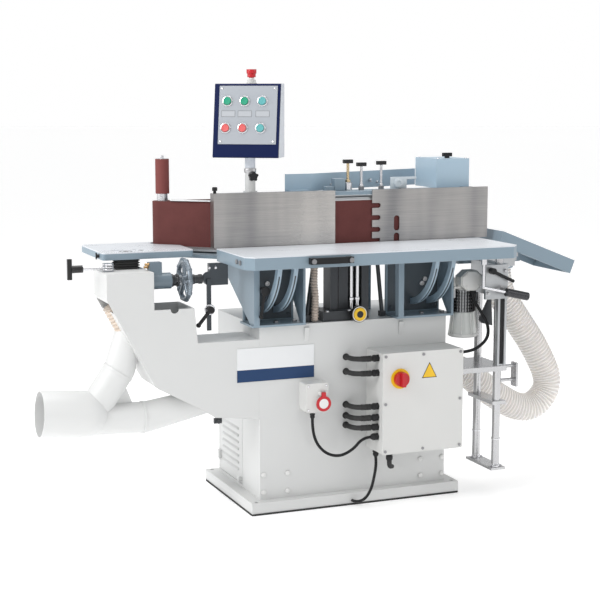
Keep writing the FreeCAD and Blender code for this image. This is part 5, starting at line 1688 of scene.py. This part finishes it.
class TopOperator(bpy.types.Operator):
    """Makes the brackets, sleeve and small knobs above the fences."""
    bl_idname = "sander.top"
    bl_label = "Top hardware"

    def execute(self, context):
        bm = bmesh.new()
        turned(bm, [(0.0, 0.0121), (0.0, 0.0142), (0.026, 0.0142), (0.0275, 0.0130), (0.0275, 0.0121)],
               (0.050, -0.032, BAR_TOP), UP, sides=40, loop=True)
        piece("tracking_sleeve", bm, polished_chrome(), "machine")
        bm = bmesh.new()
        block(bm, (-0.006, -0.050, BAR_TOP), (0.033, -0.016, BAR_TOP + 0.042), 0.002)
        block(bm, (-0.040, -0.046, BAR_TOP), (-0.006, -0.020, BAR_TOP + 0.016), 0.002)
        piece("tracking_bracket", bm, machine_coat(), "machine")
        bm = bmesh.new()
        outline = [(0.200, 1.057), (0.262, 1.057), (0.262, 1.092), (0.300, 1.092), (0.300, 1.101),
                   (0.200, 1.101)]
        slab(bm, [(x, -0.062, z) for x, z in outline], (0, 0.006, 0), 0.0012)
        turned(bm, [(0.0, 0.0), (0.0, 0.017), (0.006, 0.017), (0.008, 0.014), (0.008, 0.008),
                    (0.005, 0.007), (0.005, 0.0)], (0.229, -0.062, 1.080), FRONT, sides=36)
        piece("fence_bracket", bm, finish("pale_bracket", (0.56, 0.62, 0.66), (0.48, 0.54, 0.58),
                                          grain=400.0, smooth=(0.3, 0.42), bump=0.1),
              "machine")
        bm = bmesh.new()
        head(bm, (0.186, 0.0865, 1.083), GUARD_OUT, wide=0.006, straight=0.010, top=0.004, tall=0.012)
        for share in (0.18, 0.62):
            at = Vector((-0.077, -0.006, 1.075)).lerp(Vector((0.408, 0.165, 1.075)), share)
            head(bm, at, GUARD_OUT, wide=0.005, straight=0.003, top=0.0035, tall=0.004, sides=6)
        piece("guard_bolts", bm, polished_chrome(), "machine")
        bm = bmesh.new()
        turned(bm, [(0.0, 0.0), (0.0, 0.006), (0.014, 0.005), (0.014, 0.009), (0.024, 0.009),
                    (0.026, 0.007), (0.026, 0.0)], (-0.452, -0.080, BAR_TOP), UP, sides=24)
        piece("fence_end_knob", bm, black_plastic(), "machine")
        bm = bmesh.new()
        outline = [(-0.545, 0.101), (-0.372, -0.055), (-0.372, -0.080), (-0.400, -0.060), (-0.560, 0.072)]
        slab(bm, [(x, y, BELT_TOP + 0.0042) for x, y in outline], (0, 0, 0.003), 0.0005)
        piece("belt_top_strip", bm, finish("strip_light_steel", (0.72, 0.73, 0.74), (0.62, 0.63, 0.64),
                                           grain=500.0, metal=0.5, smooth=(0.3, 0.42)),
              "carriage")
        bm = bmesh.new()
        for y in (-0.040, 0.106):
            for x in (0.395, 0.505):
                turned(bm, [(0.0, 0.0), (0.0, 0.0055), (0.002, 0.0050), (0.003, 0.0030), (0.003, 0.0)],
                       (x, y, 1.160), UP, sides=20)
        piece("drive_cover_screws", bm, polished_chrome(), "machine")
        bm = bmesh.new()
        turned(bm, [(0.0, 0.0176), (0.0, 0.0200), (0.002, 0.0206), (0.012, 0.0206), (0.014, 0.0200),
                    (0.014, 0.0176)], (POST_AXIS.x, POST_AXIS.y, 1.126), UP, sides=44, loop=True)
        piece("post_joint_ring", bm, ground_steel(), "machine")
        return {"FINISHED"}


class SanderPanel(bpy.types.Panel):
    """Lists the parts of the finish in the sidebar."""
    bl_idname = "VIEW3D_PT_sander"
    bl_label = "Sander"
    bl_space_type = "VIEW_3D"
    bl_region_type = "UI"
    bl_category = "Sander"

    def draw(self, context):
        column = self.layout.column()
        for name in SanderSizes.__annotations__:
            column.prop(context.scene.sander_sizes, name)
        for name in SanderColours.__annotations__:
            column.prop(context.scene.sander_colours, name)
        for operator in OPERATORS:
            column.operator(operator.bl_idname)


OPERATORS = (StageOperator, FinishesOperator, HoseOperator, CablesOperator, PanelOperator,
             BellowsOperator, LeftSideOperator, MiddleOperator, CabinetOperator, RightSideOperator,
             TopOperator)
CLASSES = (SanderSizes, SanderColours, *OPERATORS, SanderPanel)


def register():
    for each in CLASSES:
        bpy.utils.register_class(each)
    bpy.types.Scene.sander_sizes = bpy.props.PointerProperty(type=SanderSizes)
    bpy.types.Scene.sander_colours = bpy.props.PointerProperty(type=SanderColours)


def unregister():
    del bpy.types.Scene.sander_colours
    del bpy.types.Scene.sander_sizes
    for each in reversed(CLASSES):
        bpy.utils.unregister_class(each)


def main():
    register()
    for operator in OPERATORS:
        group, name = operator.bl_idname.split(".")
        if "FINISHED" not in getattr(getattr(bpy.ops, group), name)():
            raise RuntimeError(operator.bl_label + " did not finish")
    bpy.context.view_layer.update()


if __name__ == "__main__":
    main()
